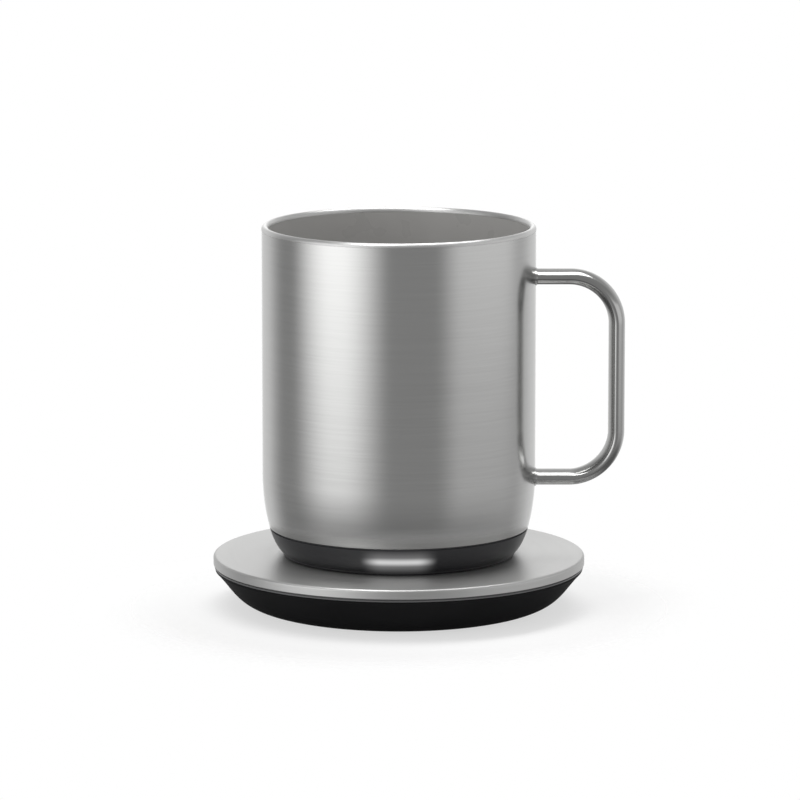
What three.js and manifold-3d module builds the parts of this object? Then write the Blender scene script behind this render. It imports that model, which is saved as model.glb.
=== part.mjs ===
// A self heating steel mug standing on its charging coaster, taken apart into its real pieces.
// Millimetres, +Z up. The origin is on the floor under the middle of the coaster. The handle points to +X
// and the light in the base of the mug faces -Y.
import * as THREE from "three";
import { mergeVertices } from "three/addons/utils/BufferGeometryUtils.js";
import Module from "manifold-3d";

const wasm = await Module();
wasm.setup();

const degree = Math.PI / 180;
const quarterTurn = Math.PI / 2;

// Overall sizes. Heights of mug pieces and of the coaster's top are counted from the coaster's top face.
const mugRadius = 40.5;
const mugHeight = 98.5;
const coasterRadius = 55.1;
const coasterHeight = 15.75;

// Clearances
const seatGap = 0.1; // between faces that rest on each other
const fitGap = 0.3; // between a piece and the wall or hole round it
const cutOverrun = 1; // how far a cutting shape runs past what it cuts

// Flat facets round a full turn
const showFacets = 48;
const hiddenFacets = 24;
const boreFacets = 10;
const wireFacets = 6;

// Outer shell: straight above curveTop, an ellipse quarter below it
const shellWall = 0.8;
const curveTop = 24.95;
const curveFall = 24.7; // upright half axis of the ellipse
const curveReach = 8; // level half axis of the ellipse
const seamHeight = 8.65; // where the steel ends and the dark base begins
const seamFlange = 3.5; // how far the steel turns in at the seam

// Inner cup and its rolled lip
const lipWidth = 2;
const lipSkirt = 0.3; // straight part of the lip under its round
const cupWall = 0.8;
const cupDraw = 1.5; // how far the cup's wall draws in from its lip down to its floor
const cupFillet = 8; // inside radius between wall and floor

// Handle
const fingerRoom = 21.4; // from the mug's wall to the inside of the grip
const handleDrop = 15.25; // from the rim down to the upper rod's middle
const handleLower = 23.27; // height of the lower rod's middle
const handleThick = 4.9;
const handleWide = 10;
const handleBend = 14.05; // corner radius along the rod's middle
const handleSides = 12;
const handleSteps = 28;

// Dark base of the mug
const skirtFoot = 0.3;
const skirtWall = 1.8;
const skirtLip = 1.5; // width of the skirt's bottom edge, round the cover
const ledgeReach = 6.5; // how far the ledge over the cover reaches in from that edge
const ledgeThick = 1.2;
const gasketThick = 0.3;
const coverRecess = 2.2; // height of the cover's underside
const coverThick = 1.8;
const footRingWidth = 6;
const screwInset = 4; // from the skirt's opening in to the screws
const screwAngles = [90, 210, 330];

// Contacts and button in the cover
const ringWidth = 2;
const ringMargin = 0.8; // from the button's flange to the inner ring
const ringSpacing = 2; // between the two rings
const ringThick = 0.5;
const ringProud = 0.2;
const studRadius = 0.8;
const buttonRadius = 4.5;
const buttonProud = 0.4;
const buttonFlange = 1.7;
const flangeThick = 0.4;
const sealThick = 0.4;
const buttonTravel = 0.5;

// Light on the front of the base
const lightAngle = 16; // half of the arc that it covers, in degrees
const lightSkin = 0.5; // thickness of the dark skin that it shines through
const ledSize = [3, 1.6, 0.8];

// Battery tray, cells and heater, stacked up from the shell's flange to the cup's floor
const trayFloor = 1.2;
const trayRim = 2.8;
const frameShares = [0.78, 0.625]; // half width and half length of the cells' frame, of the tray's radius
const frameWall = 1;
const frameHeight = 4;
const cellHeight = 7.8;
const cellCorner = 1.5;
const cellSpacing = 1.8;
const padMargin = 4.7; // from the cup's inside wall in to the pad's edge
const padThick = 1.6;
const filmThick = 0.4;
const heaterThick = 1.6;
const sensorRadius = 1.6;
const sensorHeight = 1.9;
const sensorLeadRadius = 0.45;

// Circuit board under the tray. What stands on it is placed by shares of its radius.
const boardMargin = 4.9; // from the tray's rim in to the board's edge
const boardThick = 1.6;
const standoff = 3.6; // from the board's top to the tray
const standoffRadius = 2.4;
const standoffShare = 0.533;
const bossRadius = 2.5;
const switchSize = [5, 5, 0.6];
const switchPlunger = [1.2, 0.3]; // radius and reach
const connectorSize = [8, 4.5, 3];
const heaterPlugShares = [0.4, 0.617];
const batteryPlugShares = [0, -0.617];
const chipSize = [7, 7, 0.9];
const chipShares = [0.3, -0.25];
const radioSize = [9, 8, 2];
const radioShares = [-0.41, -0.39];
const transistorSize = [6.5, 5.5, 1.1];
const transistorShares = [0.683, 0.267];
const inductorSize = [7, 7, 3];
const inductorShares = [-0.3, 0.433];
const inductorCoil = 2.9; // radius of its round middle

// Leads inside the mug
const leadRadius = 0.7;
const leadSpacing = 2.6;
const leadBend = 2;
const leadSteps = 9;
const slotDepth = 3; // of the slots in the tray that the leads climb through

// Screws
const screwShank = 0.9;
const screwHead = 1.8;
const screwHeadThick = 0.9;
const baseScrewLength = 6.6;
const boardScrewLength = 4.2;
const coasterScrewShank = 1;
const coasterScrewHead = 2.2;
const coasterScrewLength = 7.4;

// Coaster plate, carrier and bowl
const plateEdge = 2.78; // height of the plate's turned-down edge
const plateWall = 0.9;
const plateRound = 0.8;
const carrierThick = 1.4;
const carrierRim = 0.75; // height of the band that shows under the plate
const carrierInset = 0.3; // how far the band lies behind the plate's edge
const carrierRimWidth = 2.5;
const bowlInset = 0.45; // how far the bowl's top edge lies behind the plate's edge
const bowlReach = 19; // how far the bowl draws in to its flat underside
const bowlWall = 1.8;
const bowlSteps = 7;
const bowlCurveShares = [[0.996, 0.949], [0.714, 0.492], [0.67, 0], [0, 0]]; // of its reach and height
const footPadMargin = 1.5; // from the flat underside's edge in to the pad
const footPadThick = 0.9;
const padProud = 0.2;

// Contact hub, pins and springs
const hubMargin = 2; // from the outer contact ring to the hub's edge
const hubRise = 0.9; // above the coaster's top
const hubFlange = 3;
const hubFlangeThick = 1.2;
const pinRadius = 0.9;
const pinRise = 0.9; // above the hub
const pinTravel = 0.8;
const pinCollar = 1.4;
const pinCollarThick = 0.8;
const pinTail = 0.55;
const barrelRadius = 2.1;
const barrelWall = 0.4;
const springRadius = 1.1;
const springWire = 0.2;
const springPitch = 0.8;
const springTurnSteps = 6;
const springSides = 5;

// Coaster board and supply socket
const coasterBoardShares = [1.33, 1]; // width and depth, of the circle of bosses
const coasterPostHeight = 1.9;
const coasterPostRadius = 2.4;
const coasterPostShares = [0.4, 0.333]; // of the board's width and depth
const coasterBossInset = 4; // from the foot pad's edge in to the bosses
const coasterBossRadius = 3;
const coasterBossAngles = [30, 150, 270];
const jackWidth = 9;
const jackLength = 14;
const jackWall = 0.5; // above and below its bore
const jackBoreDepth = 12;
const jackInset = 4.35; // how far its open end lies behind the plate's edge
const jackPinRadius = 1;
const jackPinLength = 10.6;
const cradleLength = 8;
const cradleHeight = 1.8; // above the bowl's floor
const supplyLeadInset = 2; // from the board's edge in to where the leads meet it
const supplyLeadSpacing = 4;

// Heights in the mug that follow from the stack, from the coaster's top face up
const coverTop = coverRecess + coverThick;
const ledgeLow = coverTop + seatGap;
const ledgeTop = ledgeLow + ledgeThick;
const skirtTop = seamHeight - gasketThick - 2 * seatGap;
const buttonTop = coverTop + seatGap + sealThick + seatGap + flangeThick;
const plungerLow = buttonTop + buttonTravel + seatGap;
const switchTop = plungerLow + switchPlunger[1] + switchSize[2];
const boardLow = switchTop + seatGap;
const boardTop = boardLow + boardThick;
const trayLow = seamHeight + shellWall + seatGap;
const trayUnder = boardTop + seatGap + standoff;
const trayTop = trayUnder + trayFloor;
const cellLow = trayTop + seatGap;
const cellTop = cellLow + cellHeight;
const padLow = cellTop + seatGap;
const filmLow = padLow + padThick + seatGap;
const heaterLow = filmLow + filmThick + seatGap;
const cupLow = heaterLow + heaterThick + seatGap;
const cupFloor = cupLow + cupWall;
const lipLow = mugHeight - lipWidth / 2 - lipSkirt;
const handleUpper = mugHeight - handleDrop;

// Radii and places in the mug that follow
const cupRadius = mugRadius - lipWidth;
const cupFoot = cupRadius - cupDraw;
const heaterRadius = cupFoot - cupFillet - 2 * seatGap;
const padRadius = cupFoot - padMargin;
const handleReach = mugRadius + fingerRoom + handleThick;
const skirtOpening = sideRadius(skirtFoot) - skirtLip;
const ledgeInner = skirtOpening - ledgeReach;
const screwCircle = skirtOpening - screwInset;
const sealRadius = buttonRadius + buttonFlange;
const innerRing = sealRadius + ringMargin + ringWidth / 2;
const outerRing = innerRing + ringWidth + ringSpacing;
const trayRadius = sideRadius(trayLow) - shellWall - fitGap;
const [frameX, frameY] = frameShares.map((share) => share * (trayRadius - fitGap));
const cellWidth = frameX - frameWall - fitGap - cellSpacing / 2;
const cellLength = 2 * (frameY - frameWall - fitGap);
const leadReach = frameY + fitGap + slotDepth / 2;
const boardRadius = trayRadius - trayRim - boardMargin;
const onBoard = (shares) => shares.map((share) => share * boardRadius);
const standoffReach = standoffShare * boardRadius;
const heaterPlug = onBoard(heaterPlugShares);
const batteryPlug = onBoard(batteryPlugShares);

// Heights and radii in the coaster that follow, counted from the floor
const plateUnder = coasterHeight - plateWall;
const rimTop = coasterHeight - plateEdge - seatGap;
const rimLow = rimTop - carrierRim;
const carrierLow = plateUnder - seatGap - carrierThick;
const carrierRadius = coasterRadius - carrierInset;
const bowlTop = rimLow - seatGap;
const bowlRadius = coasterRadius - bowlInset;
const bowlFoot = bowlRadius - bowlReach;
const footPadRadius = bowlFoot - footPadMargin;
const padRecess = footPadThick + seatGap;
const bowlFloor = padRecess + bowlWall;
const hubRadius = outerRing + ringWidth / 2 + hubMargin;
const hubLow = carrierLow - seatGap - hubFlangeThick;
const hubTop = coasterHeight + hubRise;
const pinTop = hubTop + pinRise;
const collarTop = hubLow - seatGap;
const collarLow = collarTop - pinCollarThick;
const coasterBossCircle = footPadRadius - coasterBossInset;
const [coasterBoardX, coasterBoardY] = coasterBoardShares.map((share) => share * coasterBossCircle);
const postPlace = [coasterPostShares[0] * coasterBoardX, coasterPostShares[1] * coasterBoardY];
const coasterPostPlaces = [postPlace, postPlace.map((value) => -value)];
const coasterBoardLow = bowlFloor + coasterPostHeight + seatGap;
const coasterBoardTop = coasterBoardLow + boardThick;
const barrelLow = coasterBoardTop + seatGap;
const barrelFloor = barrelLow + barrelWall;
const springLow = barrelFloor + seatGap;
const springHigh = collarLow - seatGap;
const pinTailLow = barrelFloor + pinTravel + seatGap;
const jackFace = coasterRadius - jackInset;
const jackTop = bowlTop - 2 * seatGap;
const jackLow = bowlFloor + cradleHeight + seatGap;
const jackMiddle = (jackTop + jackLow) / 2;
const jackBore = (jackTop - jackLow) / 2 - jackWall;
const jackBack = jackFace - jackLength;

// Finishes
const finishes = {
  brushedSteel: { color: 0xb8b8b6, roughness: 0.32, metalness: 1 },
  polishedSteel: { color: 0xd0d0ce, roughness: 0.12, metalness: 1 },
  coatedSteel: { color: 0x7c7b79, roughness: 0.3, metalness: 0 },
  aluminium: { color: 0xc4c6c8, roughness: 0.4, metalness: 1 },
  brass: { color: 0xc9a24f, roughness: 0.3, metalness: 1 },
  blackPlastic: { color: 0x1f1f20, roughness: 0.45, metalness: 0 },
  greyPlastic: { color: 0x5a5b5c, roughness: 0.5, metalness: 0 },
  rubber: { color: 0x232323, roughness: 0.85, metalness: 0 },
  foam: { color: 0xd8d2c4, roughness: 0.95, metalness: 0 },
  film: { color: 0xb5651d, roughness: 0.35, metalness: 0 },
  cellWrap: { color: 0x9aa3ad, roughness: 0.4, metalness: 0 },
  boardGreen: { color: 0x1f5a3a, roughness: 0.5, metalness: 0 },
  lightWhite: { color: 0xf2f4f6, roughness: 0.3, metalness: 0 },
  redLead: { color: 0xa83028, roughness: 0.6, metalness: 0 },
  blackLead: { color: 0x1c1c1c, roughness: 0.6, metalness: 0 },
};

function piece(name, geometry, finish) {
  const mesh = new THREE.Mesh(geometry, new THREE.MeshStandardMaterial(finishes[finish]));
  mesh.name = name;
  return mesh;
}

// A profile of radius and height pairs, turned round the upright axis.
function turned(profile, facets) {
  const points = profile.map(([radius, height]) => new THREE.Vector2(radius, height));
  return new THREE.LatheGeometry(points, facets).rotateX(quarterTurn);
}

function ring(inner, outer, low, high, facets = hiddenFacets) {
  return turned([[inner, low], [outer, low], [outer, high], [inner, high], [inner, low]], facets);
}

function disc(radius, low, high, facets = hiddenFacets) {
  return turned([[0, low], [radius, low], [radius, high], [0, high]], facets);
}

function post([x, y], radius, low, high, facets = boreFacets) {
  return disc(radius, low, high, facets).translate(x, y, 0);
}

function block([x, y], width, depth, low, high) {
  return new THREE.BoxGeometry(width, depth, high - low).translate(x, y, (low + high) / 2);
}

function polar(radius, angle) {
  return [radius * Math.cos(angle * degree), radius * Math.sin(angle * degree)];
}

// A part of a circle or ellipse as profile points, from one angle to another in equal steps.
function arcPoints(centre, radii, from, to, steps) {
  return Array.from({ length: steps + 1 }, (_, step) => {
    const angle = (from + ((to - from) * step) / steps) * degree;
    return [centre[0] + radii[0] * Math.cos(angle), centre[1] + radii[1] * Math.sin(angle)];
  });
}

function asSolid(geometry) {
  const bare = geometry.clone();
  bare.deleteAttribute("normal");
  bare.deleteAttribute("uv");
  const merged = mergeVertices(bare);
  return new wasm.Manifold(new wasm.Mesh({
    numProp: 3,
    vertProperties: merged.attributes.position.array,
    triVerts: new Uint32Array(merged.index.array),
  }));
}

function asGeometry(solid) {
  const { vertProperties, triVerts } = solid.getMesh();
  const geometry = new THREE.BufferGeometry();
  geometry.setAttribute("position", new THREE.BufferAttribute(vertProperties, 3));
  geometry.setIndex(new THREE.BufferAttribute(triVerts, 1));
  geometry.computeVertexNormals();
  return geometry;
}

function joined(first, ...others) {
  return asGeometry(others.reduce((whole, next) => whole.add(asSolid(next)), asSolid(first)));
}

function without(base, ...tools) {
  return asGeometry(tools.reduce((rest, tool) => rest.subtract(asSolid(tool)), asSolid(base)));
}

function common(first, second) {
  return asGeometry(asSolid(first).intersect(asSolid(second)));
}

// A closed rod of the given section along a path.
function rodAlong(path, sectionRadii, sides, steps) {
  const points = arcPoints([0, 0], sectionRadii, 0, 360 - 360 / sides, sides - 1);
  const section = new THREE.Shape(points.map(([x, y]) => new THREE.Vector2(x, y)));
  return new THREE.ExtrudeGeometry(section, { extrudePath: path, steps });
}

// Straight runs between corners, each corner rounded by a curve that starts one bend before it, or less
// where a run is short.
function routed(corners, bend) {
  const path = new THREE.CurvePath();
  let from = corners[0];
  for (let i = 1; i < corners.length - 1; i += 1) {
    const corner = corners[i];
    const room = Math.min(corner.distanceTo(from), corner.distanceTo(corners[i + 1])) / 2;
    const reach = Math.min(bend, room);
    const before = from.clone().sub(corner).setLength(reach).add(corner);
    const after = corners[i + 1].clone().sub(corner).setLength(reach).add(corner);
    path.add(new THREE.LineCurve3(from, before));
    path.add(new THREE.QuadraticBezierCurve3(before, corner, after));
    from = after;
  }
  path.add(new THREE.LineCurve3(from, corners.at(-1)));
  return path;
}

function lead(name, corners, finish) {
  const path = routed(corners.map((corner) => new THREE.Vector3(...corner)), leadBend);
  return piece(name, rodAlong(path, [leadRadius, leadRadius], wireFacets, leadSteps), finish);
}

function screw([x, y], headRadius, shankRadius, headLow, length, up) {
  const profile = [
    [0, 0],
    [headRadius, 0],
    [headRadius, screwHeadThick],
    [shankRadius, screwHeadThick],
    [shankRadius, length - shankRadius],
    [0, length],
  ];
  const shape = turned(profile, boreFacets);
  if (!up) {
    shape.rotateX(Math.PI);
  }
  return shape.translate(x, y, headLow);
}

// The ellipse of the mug's lower side, as profile points between two heights.
function sidePoints(low, high, inset, steps) {
  const angleAt = (height) => Math.acos(Math.min(1, (curveTop - height) / curveFall)) / degree;
  const centre = [mugRadius - curveReach - inset, curveTop];
  return arcPoints(centre, [curveReach, curveFall], angleAt(low) - 90, angleAt(high) - 90, steps);
}

function sideRadius(height) {
  return sidePoints(height, height, 0, 1)[0][0];
}

// Mug: vessel and handle

function outerShell() {
  const top = lipLow - seatGap;
  const flangeInner = sideRadius(seamHeight) - seamFlange;
  const profile = [
    [flangeInner, seamHeight],
    ...sidePoints(seamHeight, curveTop, 0, 5),
    [mugRadius, top],
    [mugRadius - shellWall, top],
    ...sidePoints(seamHeight + shellWall, curveTop, shellWall, 2).reverse(),
    [flangeInner, seamHeight + shellWall],
    [flangeInner, seamHeight],
  ];
  return piece("outer_shell", turned(profile, showFacets), "brushedSteel");
}

function innerCup() {
  const round = cupFillet + cupWall;
  const roundCentre = [cupFoot - cupFillet, cupLow + round];
  const lipCentre = [mugRadius - lipWidth / 2, mugHeight - lipWidth / 2];
  const profile = [
    [0, cupLow],
    ...arcPoints(roundCentre, [round, round], -90, 0, 3),
    [cupRadius + cupWall, lipLow],
    [mugRadius, lipLow],
    ...arcPoints(lipCentre, [lipWidth / 2, lipWidth / 2], 0, 180, 6),
    ...arcPoints(roundCentre, [cupFillet, cupFillet], 0, -90, 3),
    [0, cupFloor],
  ];
  return piece("inner_cup", turned(profile, showFacets), "coatedSteel");
}

// The handle's middle line: out from the wall, round the bend, down the grip and back in.
function handlePath() {
  const grip = handleReach - handleThick / 2;
  const start = mugRadius - handleThick;
  const corners = [
    [start, handleUpper],
    [grip, handleUpper],
    [grip, handleLower],
    [start, handleLower],
  ].map(([x, z]) => new THREE.Vector3(x, 0, z));
  const pull = (4 * (Math.SQRT2 - 1)) / 3; // makes a Bezier curve follow a quarter circle
  const path = new THREE.CurvePath();
  let from = corners[0];
  for (const [corner, next] of [[corners[1], corners[2]], [corners[2], corners[3]]]) {
    const before = from.clone().sub(corner).setLength(handleBend).add(corner);
    const after = next.clone().sub(corner).setLength(handleBend).add(corner);
    path.add(new THREE.LineCurve3(from, before));
    path.add(new THREE.CubicBezierCurve3(
      before,
      before.clone().lerp(corner, pull),
      after.clone().lerp(corner, pull),
      after,
    ));
    from = after;
  }
  path.add(new THREE.LineCurve3(from, corners[3]));
  return path;
}

function handle() {
  const rod = rodAlong(handlePath(), [handleThick / 2, handleWide / 2], handleSides, handleSteps);
  const body = disc(mugRadius + fitGap, -cutOverrun, mugHeight + cutOverrun, showFacets);
  return piece("handle", without(rod, body), "brushedSteel");
}

// Mug: heater stack and cells

function heaterPlate() {
  return piece("heater_plate", disc(heaterRadius, heaterLow, heaterLow + heaterThick), "aluminium");
}

function heaterFilm() {
  const hole = disc(sensorRadius + fitGap, filmLow - cutOverrun, heaterLow, boreFacets);
  const film = disc(heaterRadius, filmLow, filmLow + filmThick);
  return piece("heater_film", without(film, hole), "film");
}

function insulationPad() {
  const top = padLow + padThick;
  const hole = disc(sensorRadius + fitGap, padLow - cutOverrun, top + cutOverrun, boreFacets);
  const notchDepth = padRadius - leadReach + 2 * leadRadius;
  const notchWidth = connectorSize[0];
  const notchMiddle = [heaterPlug[0], padRadius - notchDepth / 2 + cutOverrun / 2];
  const notch = block(notchMiddle, notchWidth, notchDepth + cutOverrun, padLow - cutOverrun, top + cutOverrun);
  return piece("insulation_pad", without(disc(padRadius, padLow, top), hole, notch), "foam");
}

function temperatureSensor() {
  const top = heaterLow - seatGap;
  return piece("temperature_sensor", disc(sensorRadius, top - sensorHeight, top, boreFacets), "brass");
}

function sensorLead() {
  const top = heaterLow - sensorHeight - 2 * seatGap;
  const shape = disc(sensorLeadRadius, boardTop + seatGap, top, wireFacets);
  return piece("sensor_lead", shape, "blackLead");
}

function roundedBlock([x, y], width, length, corner, low, high) {
  const outline = [];
  const centres = [[1, 1, 0], [-1, 1, 90], [-1, -1, 180], [1, -1, 270]];
  for (const [sideX, sideY, from] of centres) {
    const centre = [x + sideX * (width / 2 - corner), y + sideY * (length / 2 - corner)];
    outline.push(...arcPoints(centre, [corner, corner], from, from + 90, 3));
  }
  const shape = new THREE.Shape(outline.map((point) => new THREE.Vector2(...point)));
  const options = { depth: high - low, bevelEnabled: false };
  return new THREE.ExtrudeGeometry(shape, options).translate(0, 0, low);
}

function batteryCell(name, side) {
  const place = [(side * (cellSpacing + cellWidth)) / 2, 0];
  const shape = roundedBlock(place, cellWidth, cellLength, cellCorner, cellLow, cellTop);
  return piece(name, shape, "cellWrap");
}

function batteryTray() {
  const hat = turned([
    [0, trayUnder],
    [trayRadius - trayRim, trayUnder],
    [trayRadius - trayRim, trayLow],
    [trayRadius, trayLow],
    [trayRadius, trayTop],
    [0, trayTop],
  ], showFacets);
  const frameTop = trayTop + frameHeight;
  const frame = without(
    block([0, 0], 2 * frameX, 2 * frameY, trayUnder, frameTop),
    block([0, 0], 2 * (frameX - frameWall), 2 * (frameY - frameWall), trayTop, frameTop + cutOverrun),
  );
  const bosses = screwAngles.map((angle) => (
    post(polar(screwCircle, angle), bossRadius, ledgeTop + seatGap, trayTop)
  ));
  const standoffs = [-1, 1].map((side) => (
    post([side * standoffReach, 0], standoffRadius, boardTop + seatGap, trayTop)
  ));
  const holeLow = ledgeTop - cutOverrun;
  const bossHoles = screwAngles.map((angle) => (
    post(polar(screwCircle, angle), screwShank + fitGap, holeLow, trayUnder)
  ));
  const standoffHoles = [-1, 1].map((side) => (
    post([side * standoffReach, 0], screwShank + fitGap, holeLow, trayUnder)
  ));
  const slots = [[heaterPlug[0], leadReach], [batteryPlug[0], -leadReach]].map((place) => (
    block(place, connectorSize[0], slotDepth, trayUnder - cutOverrun, trayTop + cutOverrun)
  ));
  const leadHole = post([0, 0], sensorLeadRadius + fitGap, trayUnder - cutOverrun, trayTop + cutOverrun);
  const whole = joined(hat, frame, ...bosses, ...standoffs);
  const shape = without(whole, ...bossHoles, ...standoffHoles, ...slots, leadHole);
  return piece("battery_tray", shape, "greyPlastic");
}

// Mug: electronics

function circuitBoard() {
  const above = boardTop + cutOverrun;
  const below = boardLow - cutOverrun;
  const notches = screwAngles.map((angle) => (
    post(polar(screwCircle, angle), bossRadius + fitGap, below, above)
  ));
  const outerCuts = screwAngles.map((angle) => {
    const width = 2 * (bossRadius + fitGap);
    const depth = boardRadius - screwCircle + cutOverrun;
    const cut = block([0, 0], depth, width, below, above).translate(screwCircle + depth / 2, 0, 0);
    return cut.rotateZ(angle * degree);
  });
  const holes = [-1, 1].map((side) => (
    post([side * standoffReach, 0], screwShank + fitGap, below, above)
  ));
  const shape = without(disc(boardRadius, boardLow, boardTop), ...notches, ...outerCuts, ...holes);
  return piece("circuit_board", shape, "boardGreen");
}

function boardBlock(name, shares, [width, depth, height], finish) {
  const low = boardTop + seatGap;
  return piece(name, block(onBoard(shares), width, depth, low, low + height), finish);
}

function inductor() {
  const low = boardTop + seatGap;
  const [width, depth, height] = inductorSize;
  const foot = height / 4;
  const place = onBoard(inductorShares);
  const shape = joined(
    block(place, width, depth, low, low + foot),
    post(place, inductorCoil, low, low + height),
    block(place, width, depth, low + height - foot, low + height),
  );
  return piece("inductor", shape, "blackPlastic");
}

function tactSwitch() {
  const [width, depth, height] = switchSize;
  const shape = joined(
    block([0, 0], width, depth, switchTop - height, switchTop),
    post([0, 0], switchPlunger[0], plungerLow, switchTop),
  );
  return piece("tact_switch", shape, "blackPlastic");
}

// A wedge round the front of the mug that spans the light's arc, for cutting rings.
function frontWedge(halfAngle, low, high) {
  const reach = mugRadius + cutOverrun;
  const half = reach * Math.tan(halfAngle * degree);
  const shape = new THREE.Shape([
    new THREE.Vector2(0, 0),
    new THREE.Vector2(-half, -reach),
    new THREE.Vector2(half, -reach),
  ]);
  return new THREE.ExtrudeGeometry(shape, { depth: high - low, bevelEnabled: false }).translate(0, 0, low);
}

function lightGuide() {
  const inner = ledgeInner + skirtWall;
  const outer = sidePoints(ledgeLow, ledgeTop, lightSkin + fitGap, 1);
  const bar = turned([[inner, ledgeLow], ...outer, [inner, ledgeTop], [inner, ledgeLow]], showFacets);
  const wedge = frontWedge(lightAngle, ledgeLow - cutOverrun, ledgeTop + cutOverrun);
  return piece("light_guide", common(bar, wedge), "lightWhite");
}

function statusLed() {
  const [width, depth, height] = ledSize;
  const top = boardLow - seatGap;
  const place = [0, -(ledgeInner + skirtWall + depth / 2)];
  return piece("status_led", block(place, width, depth, top - height, top), "lightWhite");
}

function heaterLead(name, side, finish) {
  const x = heaterPlug[0] + (side * leadSpacing) / 2;
  const start = heaterPlug[1] + connectorSize[1] / 2 + seatGap;
  const low = boardTop + seatGap + connectorSize[2] / 2;
  return lead(name, [[x, start, low], [x, leadReach, low], [x, leadReach, filmLow - seatGap]], finish);
}

function batteryLead(name, side, finish) {
  const x = batteryPlug[0] + side * leadSpacing;
  const start = batteryPlug[1] - connectorSize[1] / 2 - seatGap;
  const low = boardTop + seatGap + connectorSize[2] / 2;
  const high = (trayTop + frameHeight + cellTop) / 2;
  const corners = [
    [x, start, low],
    [x, -leadReach, low],
    [x, -leadReach, high],
    [x, -cellLength / 2 - seatGap, high],
  ];
  return lead(name, corners, finish);
}

// Mug: dark base

function baseSkirt() {
  const side = sidePoints(skirtFoot, skirtTop, 0, 6);
  const profile = [
    [skirtOpening, skirtFoot],
    ...side,
    [sideRadius(skirtTop) - skirtWall, skirtTop],
    [sideRadius(ledgeTop) - skirtWall, ledgeTop],
    [ledgeInner, ledgeTop],
    [ledgeInner, ledgeLow],
    [skirtOpening, ledgeLow],
    [skirtOpening, skirtFoot],
  ];
  const slotAngle = lightAngle + fitGap / mugRadius / degree;
  const slotInner = ledgeInner + skirtWall - fitGap;
  const slotOuter = sidePoints(coverTop, ledgeTop + seatGap, lightSkin, 1);
  const slotRing = turned([
    [slotInner, coverTop],
    ...slotOuter,
    [slotInner, ledgeTop + seatGap],
    [slotInner, coverTop],
  ], showFacets);
  const slot = common(slotRing, frontWedge(slotAngle, coverTop - cutOverrun, ledgeTop + cutOverrun));
  const holes = screwAngles.map((angle) => (
    post(polar(screwCircle, angle), screwShank + fitGap, ledgeLow - cutOverrun, ledgeTop + cutOverrun)
  ));
  return piece("base_skirt", without(turned(profile, showFacets), slot, ...holes), "blackPlastic");
}

function baseGasket() {
  const low = skirtTop + seatGap;
  const outer = sideRadius(low) - fitGap;
  const shape = ring(outer - seamFlange + fitGap, outer, low, low + gasketThick, showFacets);
  return piece("base_gasket", shape, "rubber");
}

function baseCover() {
  const grooves = [innerRing, outerRing].map((radius) => ring(
    radius - ringWidth / 2 - seatGap,
    radius + ringWidth / 2 + seatGap,
    coverRecess - cutOverrun,
    coverRecess + ringThick - ringProud + seatGap,
  ));
  const studHoles = [-innerRing, outerRing].map((y) => (
    post([0, y], studRadius + fitGap, coverRecess, coverTop + cutOverrun)
  ));
  const buttonHole = disc(buttonRadius + fitGap, coverRecess - cutOverrun, coverTop + cutOverrun);
  const headTop = coverRecess + seatGap + screwHeadThick + seatGap;
  const screwHoles = screwAngles.flatMap((angle) => [
    post(polar(screwCircle, angle), screwHead + fitGap, coverRecess - cutOverrun, headTop),
    post(polar(screwCircle, angle), screwShank + fitGap, coverRecess, coverTop + cutOverrun),
  ]);
  const plate = disc(skirtOpening - fitGap, coverRecess, coverTop);
  return piece("base_cover", without(plate, ...grooves, ...studHoles, buttonHole, ...screwHoles), "blackPlastic");
}

function contactRing(name, radius, side) {
  const low = coverRecess - ringProud;
  const stud = post([0, side * radius], studRadius, low + ringThick / 2, boardLow - seatGap);
  const flat = ring(radius - ringWidth / 2, radius + ringWidth / 2, low, low + ringThick);
  return piece(name, joined(flat, stud), "brass");
}

function powerButton() {
  const low = coverRecess - buttonProud;
  const profile = [
    [0, low],
    [buttonRadius, low],
    [buttonRadius, buttonTop - flangeThick],
    [sealRadius, buttonTop - flangeThick],
    [sealRadius, buttonTop],
    [0, buttonTop],
  ];
  return piece("power_button", turned(profile, hiddenFacets), "greyPlastic");
}

function buttonSeal() {
  const low = coverTop + seatGap;
  return piece("button_seal", ring(buttonRadius + fitGap, sealRadius, low, low + sealThick), "rubber");
}

function footRing() {
  const outer = skirtOpening - fitGap;
  const shape = ring(outer - footRingWidth, outer, seatGap, coverRecess - seatGap);
  return piece("foot_ring", shape, "rubber");
}

function baseScrew(index) {
  const place = polar(screwCircle, screwAngles[index]);
  const low = coverRecess + seatGap;
  const shape = screw(place, screwHead, screwShank, low, baseScrewLength, true);
  return piece(`base_screw_${index + 1}`, shape, "brushedSteel");
}

function boardScrew(index) {
  const place = [index === 0 ? -standoffReach : standoffReach, 0];
  const low = boardLow - seatGap - screwHeadThick;
  const shape = screw(place, screwHead, screwShank, low, boardScrewLength, true);
  return piece(`board_screw_${index + 1}`, shape, "brushedSteel");
}

// Coaster

function coasterTopPlate() {
  const hole = hubRadius + fitGap;
  const inner = coasterRadius - plateWall;
  const roundCentre = [coasterRadius - plateRound, coasterHeight - plateRound];
  const profile = [
    [hole, plateUnder],
    [inner, plateUnder],
    [inner, coasterHeight - plateEdge],
    [coasterRadius, coasterHeight - plateEdge],
    ...arcPoints(roundCentre, [plateRound, plateRound], 0, 90, 3),
    [hole, coasterHeight],
    [hole, plateUnder],
  ];
  return piece("coaster_top_plate", turned(profile, showFacets), "brushedSteel");
}

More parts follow.
